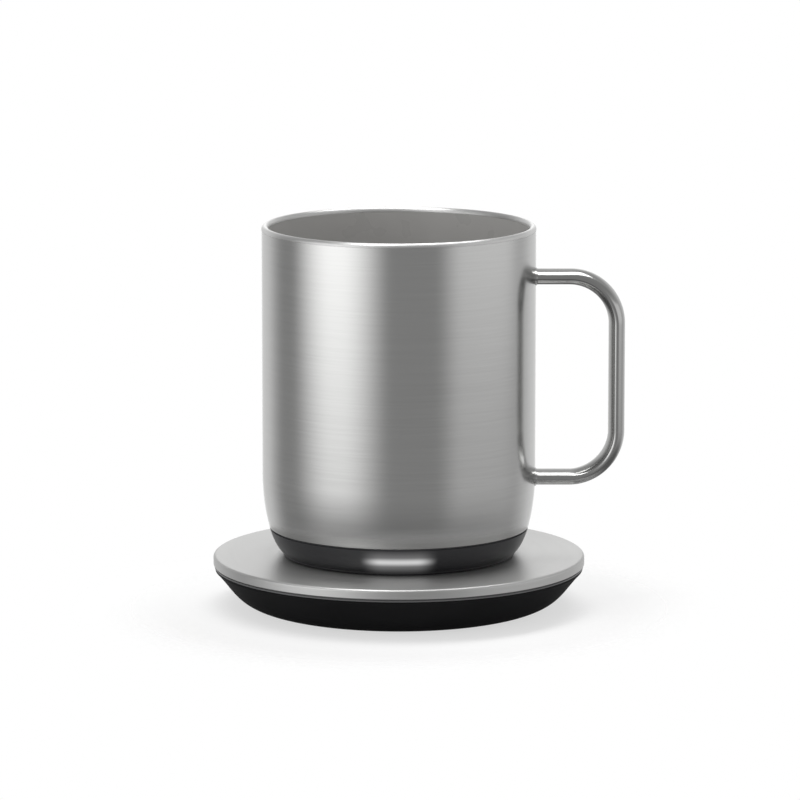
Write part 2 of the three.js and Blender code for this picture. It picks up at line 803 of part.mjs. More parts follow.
function coasterCarrier() {
  const hole = hubRadius + fitGap;
  const inside = coasterRadius - plateWall - fitGap;
  const top = plateUnder - seatGap;
  const disk = turned([
    [hole, carrierLow],
    [carrierRadius - carrierRimWidth, carrierLow],
    [carrierRadius - carrierRimWidth, rimLow],
    [carrierRadius, rimLow],
    [carrierRadius, rimTop],
    [inside, rimTop],
    [inside, top],
    [hole, top],
    [hole, carrierLow],
  ], showFacets);
  const bossLow = bowlFloor + seatGap;
  const places = coasterBossAngles.map((angle) => polar(coasterBossCircle, angle));
  const bosses = places.map((place) => post(place, coasterBossRadius, bossLow, carrierLow + carrierThick / 2));
  const holes = places.map((place) => (
    post(place, coasterScrewShank + fitGap, bossLow - cutOverrun, carrierLow - carrierThick)
  ));
  return piece("coaster_carrier", without(joined(disk, ...bosses), ...holes), "greyPlastic");
}

function bowlCurve() {
  const points = bowlCurveShares.map(([reachShare, heightShare]) => new THREE.Vector2(
    bowlFoot + (bowlRadius - bowlFoot) * reachShare,
    padProud + (bowlTop - padProud) * heightShare,
  ));
  return new THREE.CubicBezierCurve(...points);
}

function coasterBowl() {
  const curve = bowlCurve();
  const outside = curve.getPoints(bowlSteps).map((point) => [point.x, point.y]);
  const inside = [];
  for (let step = 0; step <= bowlSteps; step += 1) {
    const point = curve.getPoint(step / bowlSteps);
    const along = curve.getTangent(step / bowlSteps);
    const offset = [point.x + along.y * bowlWall, point.y - along.x * bowlWall];
    if (offset[1] > bowlFloor + seatGap && offset[1] < bowlTop - bowlWall) {
      inside.push(offset);
    }
  }
  const profile = [
    [0, padRecess],
    [footPadRadius + fitGap, padRecess],
    [footPadRadius + fitGap, padProud],
    ...outside.reverse(),
    [bowlRadius, bowlTop],
    [bowlRadius - bowlWall, bowlTop],
    ...inside,
    [inside.at(-1)[0] - bowlWall, bowlFloor],
    [0, bowlFloor],
  ];
  const cradle = block([0, jackBack + cradleLength / 2], jackWidth, cradleLength, padRecess + bowlWall / 2,
    jackLow - seatGap);
  const posts = coasterPostPlaces.map((place) => (
    post(place, coasterPostRadius, padRecess + bowlWall / 2, bowlFloor + coasterPostHeight)
  ));
  const windowDepth = jackInset + jackLength + fitGap + cutOverrun;
  const windowPlace = [0, coasterRadius + cutOverrun - windowDepth / 2];
  const window = block(windowPlace, jackWidth + 2 * fitGap, windowDepth, jackLow - fitGap, bowlTop + cutOverrun);
  const postHoles = coasterPostPlaces.map((place) => (
    post(place, screwShank + fitGap, bowlFloor, coasterBoardLow + cutOverrun)
  ));
  const headTop = padRecess + seatGap + screwHeadThick + seatGap;
  const bottomHoles = coasterBossAngles.flatMap((angle) => [
    post(polar(coasterBossCircle, angle), coasterScrewHead + fitGap, padRecess - cutOverrun, headTop),
    post(polar(coasterBossCircle, angle), coasterScrewShank + fitGap, padRecess, bowlFloor + cutOverrun),
  ]);
  const body = without(turned(profile, showFacets), window);
  const whole = joined(body, cradle, ...posts);
  return piece("coaster_bowl", without(whole, ...postHoles, ...bottomHoles), "blackPlastic");
}

function coasterFootPad() {
  return piece("coaster_foot_pad", disc(footPadRadius, 0, footPadThick, showFacets), "rubber");
}

function contactHub() {
  const edge = hubRise / 2;
  const profile = [
    [0, hubLow],
    [hubRadius + hubFlange, hubLow],
    [hubRadius + hubFlange, hubLow + hubFlangeThick],
    [hubRadius, hubLow + hubFlangeThick],
    [hubRadius, hubTop - edge],
    [hubRadius - edge, hubTop],
    [0, hubTop],
  ];
  const holes = [-innerRing, outerRing].map((x) => (
    post([x, 0], pinRadius + fitGap, hubLow - cutOverrun, hubTop + cutOverrun)
  ));
  return piece("contact_hub", without(turned(profile, hiddenFacets), ...holes), "blackPlastic");
}

function contactPin(name, x) {
  const tip = pinRadius / 2;
  const profile = [
    [0, pinTailLow],
    [pinTail, pinTailLow],
    [pinTail, collarLow],
    [pinCollar, collarLow],
    [pinCollar, collarTop],
    [pinRadius, collarTop],
    [pinRadius, pinTop - tip],
    [pinRadius - tip / 2, pinTop - tip / 4],
    [0, pinTop],
  ];
  return piece(name, turned(profile, boreFacets).translate(x, 0, 0), "brass");
}

function pinBarrel(name, x) {
  const top = hubLow - seatGap;
  const profile = [
    [0, barrelLow],
    [barrelRadius, barrelLow],
    [barrelRadius, top],
    [barrelRadius - barrelWall, top],
    [barrelRadius - barrelWall, barrelFloor],
    [0, barrelFloor],
  ];
  return piece(name, turned(profile, boreFacets).translate(x, 0, 0), "brass");
}

class Coil extends THREE.Curve {
  constructor(radius, low, high, turns) {
    super();
    Object.assign(this, { radius, low, high, turns });
  }

  getPoint(share, target = new THREE.Vector3()) {
    const angle = 2 * Math.PI * this.turns * share;
    const height = this.low + (this.high - this.low) * share;
    return target.set(this.radius * Math.cos(angle), this.radius * Math.sin(angle), height);
  }
}

function pinSpring(name, x) {
  const turns = Math.max(1, Math.floor((springHigh - springLow) / springPitch));
  const coil = new Coil(springRadius, springLow + springWire, springHigh - springWire, turns);
  const shape = rodAlong(coil, [springWire, springWire], springSides, turns * springTurnSteps);
  return piece(name, shape.translate(x, 0, 0), "polishedSteel");
}

function coasterBoard() {
  const holes = coasterPostPlaces.map((place) => (
    post(place, screwShank + fitGap, coasterBoardLow - cutOverrun, coasterBoardTop + cutOverrun)
  ));
  const plate = block([0, 0], coasterBoardX, coasterBoardY, coasterBoardLow, coasterBoardTop);
  const shape = without(plate, ...holes);
  return piece("coaster_board", shape, "boardGreen");
}

function coasterBoardScrew(index) {
  const top = coasterBoardTop + seatGap + screwHeadThick;
  const shape = screw(coasterPostPlaces[index], screwHead, screwShank, top, boardScrewLength, false);
  return piece(`coaster_board_screw_${index + 1}`, shape, "brushedSteel");
}

function coasterScrew(index) {
  const place = polar(coasterBossCircle, coasterBossAngles[index]);
  const low = padRecess + seatGap;
  const shape = screw(place, coasterScrewHead, coasterScrewShank, low, coasterScrewLength, true);
  return piece(`coaster_screw_${index + 1}`, shape, "brushedSteel");
}

// A cylinder that lies along Y, between two distances behind the axis.
function lyingRod(radius, from, to, height) {
  const rod = new THREE.CylinderGeometry(radius, radius, to - from, boreFacets);
  return rod.translate(0, (from + to) / 2, height);
}

function powerJack() {
  const body = block([0, jackFace - jackLength / 2], jackWidth, jackLength, jackLow, jackTop);
  const bore = lyingRod(jackBore, jackFace - jackBoreDepth, jackFace + cutOverrun, jackMiddle);
  return piece("power_jack", without(body, bore), "blackPlastic");
}

function jackPin() {
  const from = jackFace - jackBoreDepth + seatGap;
  return piece("jack_pin", lyingRod(jackPinRadius, from, from + jackPinLength, jackMiddle), "brass");
}

function supplyLead(name, side, finish) {
  const x = (side * supplyLeadSpacing) / 2;
  const high = jackTop - 2 * leadRadius;
  const y = coasterBoardY / 2 - supplyLeadInset;
  const corners = [
    [x, jackBack - seatGap, high],
    [x, y, high],
    [x, y, coasterBoardTop + seatGap],
  ];
  return lead(name, corners, finish);
}

const coaster = new THREE.Group();
coaster.add(
  coasterTopPlate(),
  coasterCarrier(),
  coasterBowl(),
  coasterFootPad(),
  contactHub(),
  coasterBoard(),
  pinBarrel("pin_barrel_inner", -innerRing),
  pinBarrel("pin_barrel_outer", outerRing),
  pinSpring("pin_spring_inner", -innerRing),
  pinSpring("pin_spring_outer", outerRing),
  contactPin("contact_pin_inner", -innerRing),
  contactPin("contact_pin_outer", outerRing),
  powerJack(),
  jackPin(),
  supplyLead("supply_lead_left", -1, "redLead"),
  supplyLead("supply_lead_right", 1, "blackLead"),
  ...coasterBossAngles.map((_, index) => coasterScrew(index)),
  ...coasterPostPlaces.map((_, index) => coasterBoardScrew(index)),
);

const mug = new THREE.Group();
mug.position.z = coasterHeight;
mug.add(
  outerShell(),
  innerCup(),
  handle(),
  heaterPlate(),
  heaterFilm(),
  insulationPad(),
  temperatureSensor(),
  sensorLead(),
  batteryTray(),
  batteryCell("battery_cell_left", -1),
  batteryCell("battery_cell_right", 1),
  circuitBoard(),
  boardBlock("control_chip", chipShares, chipSize, "blackPlastic"),
  boardBlock("radio_module", radioShares, radioSize, "aluminium"),
  boardBlock("power_transistor", transistorShares, transistorSize, "blackPlastic"),
  boardBlock("heater_connector", heaterPlugShares, connectorSize, "foam"),
  boardBlock("battery_connector", batteryPlugShares, connectorSize, "foam"),
  inductor(),
  tactSwitch(),
  lightGuide(),
  statusLed(),
  heaterLead("heater_lead_left", -1, "redLead"),
  heaterLead("heater_lead_right", 1, "blackLead"),
  batteryLead("battery_lead_left", -1, "redLead"),
  batteryLead("battery_lead_right", 1, "blackLead"),
  baseSkirt(),
  baseGasket(),
  baseCover(),
  contactRing("contact_ring_inner", innerRing, -1),
  contactRing("contact_ring_outer", outerRing, 1),
  powerButton(),
  buttonSeal(),
  footRing(),
  ...screwAngles.map((_, index) => baseScrew(index)),
  boardScrew(0),
  boardScrew(1),
);

const group = new THREE.Group();
group.add(coaster, mug);

export default group;
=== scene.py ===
import bpy
import numpy as np
from mathutils import Matrix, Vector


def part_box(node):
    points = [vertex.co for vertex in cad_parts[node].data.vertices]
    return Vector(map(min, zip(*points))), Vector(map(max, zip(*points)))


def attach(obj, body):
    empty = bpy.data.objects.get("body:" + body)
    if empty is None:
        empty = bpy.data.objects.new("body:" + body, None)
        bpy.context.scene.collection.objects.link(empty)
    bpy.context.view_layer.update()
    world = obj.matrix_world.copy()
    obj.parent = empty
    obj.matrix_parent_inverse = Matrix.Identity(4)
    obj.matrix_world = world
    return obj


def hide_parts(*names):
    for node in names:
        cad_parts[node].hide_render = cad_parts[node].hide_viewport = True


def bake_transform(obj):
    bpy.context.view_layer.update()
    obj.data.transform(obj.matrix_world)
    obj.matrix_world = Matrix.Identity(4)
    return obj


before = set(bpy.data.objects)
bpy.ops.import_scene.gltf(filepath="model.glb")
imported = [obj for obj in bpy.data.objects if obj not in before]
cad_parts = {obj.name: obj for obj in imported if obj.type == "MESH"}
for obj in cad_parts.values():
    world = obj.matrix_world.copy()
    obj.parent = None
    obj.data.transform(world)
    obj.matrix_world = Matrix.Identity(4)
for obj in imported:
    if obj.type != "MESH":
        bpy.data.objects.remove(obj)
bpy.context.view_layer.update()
print("frame loaded")

mm = 0.001
tau = 2 * np.pi
hairline = 0.03  # mm, what is left open between pieces that look joined
seatGap, fitGap = 0.1, 0.3  # mm, between pieces that rest on each other and round what passes through
overrun = 1  # mm, how far a cutting shape runs past what it cuts
fineTurn, hiddenTurn, smallTurn = 384, 192, 48  # steps round a full turn: in full view, hidden, and small
turnedSharp, carvedSharp = 40, 30  # degrees, the angle from which an edge is shaded sharp


def low(node):  # lowest corner of a CAD node, in mm
    return np.array(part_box(node)[0]) / mm


def high(node):  # highest corner of a CAD node, in mm
    return np.array(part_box(node)[1]) / mm


def middle(node):
    return (low(node) + high(node)) / 2


def levels(node):
    return low(node)[2], high(node)[2]


# Driving sizes, read from the frame in mm. Heights are counted from the floor.
coasterTop = high("coaster_top_plate")[2]
coasterRadius = high("coaster_top_plate")[0]
mugRadius = high("inner_cup")[0]
mugTop = high("inner_cup")[2]
seam = low("outer_shell")[2]
hubFlange = 3  # how far the hub's hidden flange reaches out under the plate
hubRadius = high("contact_hub")[0] - hubFlange
pinPlaces = {side: middle("contact_pin_" + side)[0] for side in ("inner", "outer")}  # along X


# Camera at the photograph's height and distance

camera = {"place": (0.33, -1628.3, 339.95), "pitch": 9.69, "lens": 251.15}  # mm, degrees, mm


def addObject(name, data):
    holder = bpy.data.objects.new(name, data)
    bpy.context.collection.objects.link(holder)
    return holder


def addCamera():
    data = bpy.data.cameras.new("studioCamera")
    data.lens = camera["lens"]
    holder = addObject("studioCamera", data)
    holder.location = np.array(camera["place"]) * mm
    holder.rotation_euler = (np.radians(90 - camera["pitch"]), 0, 0)
    bpy.context.scene.camera = holder


addCamera()
print("camera placed")


# Profiles: radius and height pairs in mm, anticlockwise, so that faces point outwards

def arc(centre, radii, start, end, steps):
    # centre plus radii times the cosine and sine of an angle that runs from start to end, in degrees
    angle = np.radians(np.linspace(start, end, steps + 1))
    return np.stack([centre[0] + radii[0] * np.cos(angle), centre[1] + radii[1] * np.sin(angle)], 1)


def filleted(corners, closed=True, steps=6):
    # Each corner (radius, height, fillet) becomes an arc that touches both of its sides, with one more
    # point on each side to keep the straight stretches flat.
    corners = np.array(corners, float)
    places, rows = corners[:, :2], []
    for i, fillet in enumerate(corners[:, 2]):
        here = places[i]
        if fillet == 0 or (not closed and i in (0, len(corners) - 1)):
            rows.append(here[None])
            continue
        before = places[i - 1] - here
        after = places[(i + 1) % len(corners)] - here
        before /= np.linalg.norm(before)
        after /= np.linalg.norm(after)
        half = np.arccos(np.clip(before @ after, -1, 1)) / 2
        reach = fillet / np.tan(half)
        centre = here + (before + after) / np.linalg.norm(before + after) * fillet / np.sin(half)
        first, last = here + before * reach - centre, here + after * reach - centre
        start, end = np.arctan2(first[1], first[0]), np.arctan2(last[1], last[0])
        turn = (end - start + np.pi) % tau - np.pi
        angle = start + turn * np.linspace(0, 1, steps + 1)
        bend = centre + fillet * np.stack([np.cos(angle), np.sin(angle)], 1)
        guard = reach + fillet * 0.3  # from the corner out to the point that keeps the stretch flat
        rows += [(here + before * guard)[None], bend, (here + after * guard)[None]]
    return np.concatenate(rows)


def meshPiece(name, points, faces):
    mesh = bpy.data.meshes.new(name)
    mesh.from_pydata(points * mm, [], [face for part in faces for face in part.tolist()])
    mesh.shade_smooth()
    mesh.set_sharp_from_angle(angle=np.radians(turnedSharp))
    return addObject(name, mesh)


def turned(name, profile, segments=256, centre=(0, 0), shift=0):
    # A profile carried round the upright axis: (radius cos a, radius sin a, height). A profile that starts
    # and ends on the axis gets one point at each pole, and any other one closes on itself. The first step
    # starts at shift, a share of a step.
    profile = np.asarray(profile, float)
    poles = profile[0, 0] == 0
    rings = profile[1:-1] if poles else profile
    angle = (np.arange(segments) + shift) / segments * tau
    radius, height = rings[:, :1], rings[:, 1:]
    grid = np.stack([radius * np.cos(angle), radius * np.sin(angle), height + 0 * angle], 2)
    points = grid.reshape(-1, 3)
    index = np.arange(len(points)).reshape(len(rings), segments)
    index = np.concatenate([index, index[:, :1]], 1)
    if not poles:
        index = np.concatenate([index, index[:1]])
    quads = np.stack([index[:-1, :-1], index[:-1, 1:], index[1:, 1:], index[1:, :-1]], 2).reshape(-1, 4)
    faces = [quads]
    if poles:
        bottom, top = len(points), len(points) + 1
        points = np.concatenate([points, [[0, 0, profile[0, 1]], [0, 0, profile[-1, 1]]]])
        around = np.full(segments, 1)
        faces.append(np.stack([around * bottom, index[0, 1:], index[0, :-1]], 1))
        faces.append(np.stack([around * top, index[-1, :-1], index[-1, 1:]], 1))
    points[:, :2] += centre
    return meshPiece(name, points, faces)


def disc(name, radius, bottom, top, fillet=0, segments=256, centre=(0, 0)):
    corners = [(0, bottom, 0), (radius, bottom, fillet), (radius, top, fillet), (0, top, 0)]
    return turned(name, filleted(corners, closed=False), segments, centre)


def ring(name, inner, outer, bottom, top, fillet=0, segments=256, shift=0):
    corners = [(inner, bottom), (outer, bottom), (outer, top), (inner, top)]
    return turned(name, filleted([(*corner, fillet) for corner in corners]), segments, shift=shift)


def drill(name, radius, bottom, top, centre=(0, 0), segments=smallTurn):
    # A round cutter, turned by half a step so that none of its corners lies on an edge of what it cuts
    return turned(name, [(0, bottom), (radius, bottom), (radius, top), (0, top)], segments, centre, 0.5)


def tube(name, rings):
    # Rings of points one after another, each joined to the next, with a flat face at both ends
    count, sides = rings.shape[:2]
    index = np.arange(count * sides).reshape(count, sides)
    index = np.concatenate([index, index[:, :1]], 1)
    quads = np.stack([index[:-1, :-1], index[1:, :-1], index[1:, 1:], index[:-1, 1:]], 2).reshape(-1, 4)
    return meshPiece(name, rings.reshape(-1, 3), [quads, index[:1, :-1], index[-1:, -2::-1]])


def block(name, lowCorner, highCorner):
    # The eight corners of a box, numbered along Z, then Y, then X, and its six sides
    share = np.stack(np.meshgrid([0, 1], [0, 1], [0, 1], indexing="ij"), 3).reshape(-1, 3)
    points = np.array(lowCorner) + share * (np.array(highCorner) - lowCorner)
    sides = np.array([[0, 1, 3, 2], [4, 6, 7, 5], [0, 4, 5, 1],
                      [2, 3, 7, 6], [0, 2, 6, 4], [1, 5, 7, 3]])
    return meshPiece(name, points, [sides])


def carved(base, cutters, way="DIFFERENCE"):
    # Cuts the cutters out of the base, or joins them to it, welds what meets, and drops the cutters
    for cutter in cutters:
        step = base.modifiers.new("cut", "BOOLEAN")
        step.operation, step.solver, step.object = way, "EXACT", cutter
    base.modifiers.new("weld", "WELD").merge_threshold = hairline * mm / 10
    result = bpy.data.meshes.new_from_object(base.evaluated_get(bpy.context.evaluated_depsgraph_get()))
    base.modifiers.clear()
    base.data = result
    for cutter in cutters:
        bpy.data.objects.remove(cutter)
    result.shade_smooth()
    result.set_sharp_from_angle(angle=np.radians(carvedSharp))
    return base


# Materials

smooth = {"interpolation_type": "SMOOTHSTEP"}
falling = {"To Min": 1, "To Max": 0}
markDepth, grainDepth = 0.01, 0.02  # mm, how deep bump goes on metals and on moulded pieces
cloudSize, cloudSpan = 14, (0.3, 0.7)  # mm, clouds of gloss on moulded pieces, and where noise mostly lies


def linear(colour):  # an sRGB hex value as linear light, with full opacity
    share = np.array([colour >> 16 & 255, colour >> 8 & 255, colour & 255]) / 255
    return (*np.where(share <= 0.04045, share / 12.92, ((share + 0.055) / 1.055) ** 2.4), 1)


def feed(tree, node, inputs):
    # Gives each named or numbered input its value, or a link from an output or from a node's first output
    for socket, source in inputs.items():
        if isinstance(source, bpy.types.Node):
            source = source.outputs[0]
        if isinstance(source, bpy.types.NodeSocket):
            tree.links.new(source, node.inputs[socket])
        else:
            node.inputs[socket].default_value = source


def addNode(tree, kind, inputs=None, **settings):  # one node with its inputs and its settings
    node = tree.nodes.new("ShaderNode" + kind)
    for key, value in settings.items():
        setattr(node, key, value)
    feed(tree, node, inputs or {})
    return node


def emptyTree(owner):  # the node tree of a material, a world or a lamp, with nothing in it
    owner.use_nodes = True
    owner.node_tree.nodes.clear()
    return owner.node_tree


def newMaterial(name, sockets):
    material = bpy.data.materials.new(name)
    tree = emptyTree(material)
    shader = addNode(tree, "BsdfPrincipled", sockets)
    addNode(tree, "OutputMaterial", {"Surface": shader})
    return material, tree, shader


def objectPlace(tree, size):
    # Object coordinates stretched so that one unit is size: one number in mm, or three along X, Y and Z
    source = addNode(tree, "TexCoord").outputs["Object"]
    return addNode(tree, "Mapping", {"Vector": source, "Scale": np.ones(3) / (np.array(size) * mm)})


def azimuthOf(tree, parts):  # the angle from the front, towards +X, of a place or direction in its parts
    front = addNode(tree, "Math", {0: parts.outputs[1], 1: -1.0}, operation="MULTIPLY")
    return addNode(tree, "Math", {0: parts.outputs[0], 1: front}, operation="ARCTAN2")


def spunPlace(tree, pitch, length):
    # Streaks that run round the upright axis: slow along the turn, quick across it, on walls and on
    # flat faces alike, because radius and height are added
    parts = addNode(tree, "SeparateXYZ", {0: addNode(tree, "TexCoord").outputs["Object"]})
    flat = addNode(tree, "CombineXYZ", {0: parts.outputs[0], 1: parts.outputs[1]})
    radius = addNode(tree, "VectorMath", {0: flat}, operation="LENGTH").outputs["Value"]
    across = addNode(tree, "Math", {0: radius, 1: parts.outputs[2]}, operation="ADD")
    joined = addNode(tree, "CombineXYZ", {0: parts.outputs[0], 1: parts.outputs[1], 2: across})
    scale = 1 / (np.array([length, length, pitch]) * mm)
    return addNode(tree, "Mapping", {"Vector": joined, "Scale": scale})


def shade(tree, shader, value, span, colours, roughness=None):
    # As value runs over its span, the colour goes from its first to its second, and any roughness too
    level = addNode(tree, "MapRange", {"Value": value, "From Min": span[0], "From Max": span[1]})
    colour = addNode(tree, "Mix", {
        "Factor": level, 6: linear(colours[0]), 7: linear(colours[1]),
    }, data_type="RGBA")
    feed(tree, shader, {"Base Color": colour.outputs[2]})
    if roughness:
        feed(tree, shader, {"Roughness": addNode(tree, "MapRange", {
            "Value": level, "To Min": roughness[0], "To Max": roughness[1],
        })})


brushed = {
    "colours": (0xC3C3C2, 0xC8C8C7), "roughness": (0.185, 0.21), "stretch": 0.5,
    "finePitch": 0.25, "fineLength": 22,  # mm, abrasive belt lines, drawn coarser than their real 0.05
    "broadPitch": 1.3, "broadLength": 60,  # mm, soft bands left by the belt's passes
    "broadShare": 0.4, "span": (0.5, 0.9), "bump": 0.02,
}


def brushedStainlessSteel(name, look):
    # Stainless steel, belt brushed round its turn: soft upright smears of light with faint level lines
    material, tree, shader = newMaterial(name, {
        "Metallic": 1, "Anisotropic": look["stretch"], "Anisotropic Rotation": 0.25,
    })
    fine = addNode(tree, "TexNoise", {
        "Vector": spunPlace(tree, look["finePitch"], look["fineLength"]),
        "Scale": 1, "Detail": 3, "Roughness": 0.6,
    })
    broad = addNode(tree, "TexNoise", {
        "Vector": spunPlace(tree, look["broadPitch"], look["broadLength"]), "Scale": 1, "Detail": 2,
    })
    mixed = addNode(tree, "Math", {0: broad, 1: look["broadShare"], 2: fine}, operation="MULTIPLY_ADD")
    shade(tree, shader, mixed, look["span"], look["colours"], look["roughness"])
    feed(tree, shader, {
        "Normal": addNode(tree, "Bump", {
            "Strength": look["bump"], "Distance": markDepth * mm, "Height": fine,
        }),
        "Tangent": addNode(tree, "Tangent", direction_type="RADIAL", axis="Z"),
    })
    return material


def mottledMetal(name, colours, roughness, size, detail=4, strength=0.02):
    # A bare or plated metal with cloudy gloss and fine marks of the given size in mm
    material, tree, shader = newMaterial(name, {"Metallic": 1})
    cloud = addNode(tree, "TexNoise", {
        "Vector": objectPlace(tree, size), "Scale": 1, "Detail": detail, "Roughness": 0.6,
    })
    shade(tree, shader, cloud, cloudSpan, colours, roughness)
    feed(tree, shader, {"Normal": addNode(tree, "Bump", {
        "Strength": strength, "Distance": markDepth * mm, "Height": cloud,
    })})
    return material


def mouldedPolymer(name, colours, roughness, grain, strength=0.15, settings=None):
    # A moulded plastic or rubber: fine grain from the eroded mould, in mm, and cloudy changes of gloss
    material, tree, shader = newMaterial(name, settings or {})
    pits = addNode(tree, "TexNoise", {
        "Vector": objectPlace(tree, grain), "Scale": 1, "Detail": 3, "Roughness": 0.6,
    })
    cloud = addNode(tree, "TexNoise", {"Vector": objectPlace(tree, cloudSize), "Scale": 1, "Detail": 3})
    shade(tree, shader, cloud, cloudSpan, colours, roughness)
    feed(tree, shader, {"Normal": addNode(tree, "Bump", {
        "Strength": strength, "Distance": grainDepth * mm, "Height": pits,
    })})
    return material


# Painted glow: where and how strongly the light bar's light is painted as emission on the base's face
glow = {
    "height": coasterTop + 4.5,  # mm, of the middle of the bar
    "core": (0.8, 0.42), "haze": (2.3, 0.17),  # half height in mm, and strength
    "bright": 8.0, "faded": 18.4,  # degrees from the front where the bar starts to fade and ends
}


def smokedPolycarbonate():
    # Dark smoked polycarbonate, moulded glossy and thin over the lamp. The light that bleeds through is
    # painted on its face as emission: a soft band at the front that fades to the sides.
    material = mouldedPolymer("smoked_polycarbonate_moulded", (0x27272A, 0x2E2E30), (0.26, 0.36), 0.3, 0.06)
    tree = material.node_tree
    parts = addNode(tree, "SeparateXYZ", {0: addNode(tree, "TexCoord").outputs["Object"]})
    fade = addNode(tree, "MapRange", {
        "Value": addNode(tree, "Math", {0: azimuthOf(tree, parts)}, operation="ABSOLUTE"),
        "From Min": np.radians(glow["bright"]), "From Max": np.radians(glow["faded"]), **falling,
    }, **smooth)
    offset = addNode(tree, "Math", {0: parts.outputs[2], 1: glow["height"] * mm}, operation="SUBTRACT")
    distance = addNode(tree, "Math", {0: offset}, operation="ABSOLUTE")
    core, haze = [addNode(tree, "MapRange", {
        "Value": distance, "From Min": 0, "From Max": 2 * reach * mm, "To Min": strength, "To Max": 0,
    }, **smooth) for reach, strength in (glow["core"], glow["haze"])]
    total = addNode(tree, "Math", {0: core, 1: haze}, operation="ADD")
    # painted glow: emission on the base's own face standing in for the lamp behind it
    light = addNode(tree, "Math", {0: total, 1: fade}, operation="MULTIPLY")
    feed(tree, tree.nodes["Principled BSDF"], {
        "Emission Color": linear(0xFFFFFF), "Emission Strength": light,
    })
    return material


def ceramicCoating():
    # Grey ceramic coating, sprayed and cured on the steel: smooth with a slight orange peel
    return mouldedPolymer("ceramic_coating_sprayed", (0xACABA9, 0xB0AFAD), (0.27, 0.29), 0.9, 0.05)


solderMask = {"pitch": 1.6, "gap": 0.12, "soft": 0.2, "bump": 0.3, "depth": 0.04}  # pitch and depth in mm


def solderMaskBoard():
    # Green solder mask over copper tracks: level and upright lines that shine through the lacquer
    material, tree, shader = newMaterial("solder_mask_screened", {"Roughness": 0.35})
    tracks = addNode(tree, "TexBrick", {
        "Vector": objectPlace(tree, solderMask["pitch"]), "Scale": 1,
        "Mortar Size": solderMask["gap"], "Mortar Smooth": solderMask["soft"],
        "Color1": linear(0x1B5236), "Color2": linear(0x1F5A3C), "Mortar": linear(0x2F7A50),
    }, offset=0.5)
    edge = addNode(tree, "Bump", {
        "Strength": solderMask["bump"], "Distance": solderMask["depth"] * mm,
        "Height": tracks.outputs["Fac"],
    })
    feed(tree, shader, {"Base Color": tracks.outputs["Color"], "Normal": edge})
    return material


filmTrack = {"unit": 4, "rings": 0.31, "span": (0.4, 0.6), "colours": (0xB5651D, 0x8A4A22)}


def polyimideFilm():
    # Orange polyimide film with the etched heater track showing as close rings
    material, tree, shader = newMaterial("polyimide_film_laminated", {"Roughness": 0.3})
    rings = addNode(tree, "TexWave", {
        "Vector": objectPlace(tree, filmTrack["unit"]), "Scale": filmTrack["rings"], "Distortion": 0,
    }, wave_type="RINGS", rings_direction="Z")
    shade(tree, shader, rings.outputs["Fac"], filmTrack["span"], filmTrack["colours"])
    return material


foam = {"pore": 0.8, "span": (0.1, 0.6), "bump": 0.6, "depth": 0.1, "colours": (0xB9B2A4, 0xD8D2C4)}


def closedCellFoam():
    # Closed cell foam, cut from sheet: small round pores
    material, tree, shader = newMaterial("closed_cell_foam_cut", {"Roughness": 0.95})
    pores = addNode(tree, "TexVoronoi", {"Vector": objectPlace(tree, foam["pore"]), "Scale": 1})
    shade(tree, shader, pores, foam["span"], foam["colours"])
    feed(tree, shader, {"Normal": addNode(tree, "Bump", {
        "Strength": foam["bump"], "Distance": foam["depth"] * mm, "Height": pores,
    })})
    return material


def diffusingAcrylic():
    # Frosted acrylic light bar. The light that would reach it from its back is painted on as emission.
    return mouldedPolymer("diffusing_acrylic_lit", (0xE8EAEC, 0xF4F5F6), (0.4, 0.5), 0.2, 0.1, {
        "Emission Color": linear(0xFFFFFF), "Emission Strength": 0.9,
    })


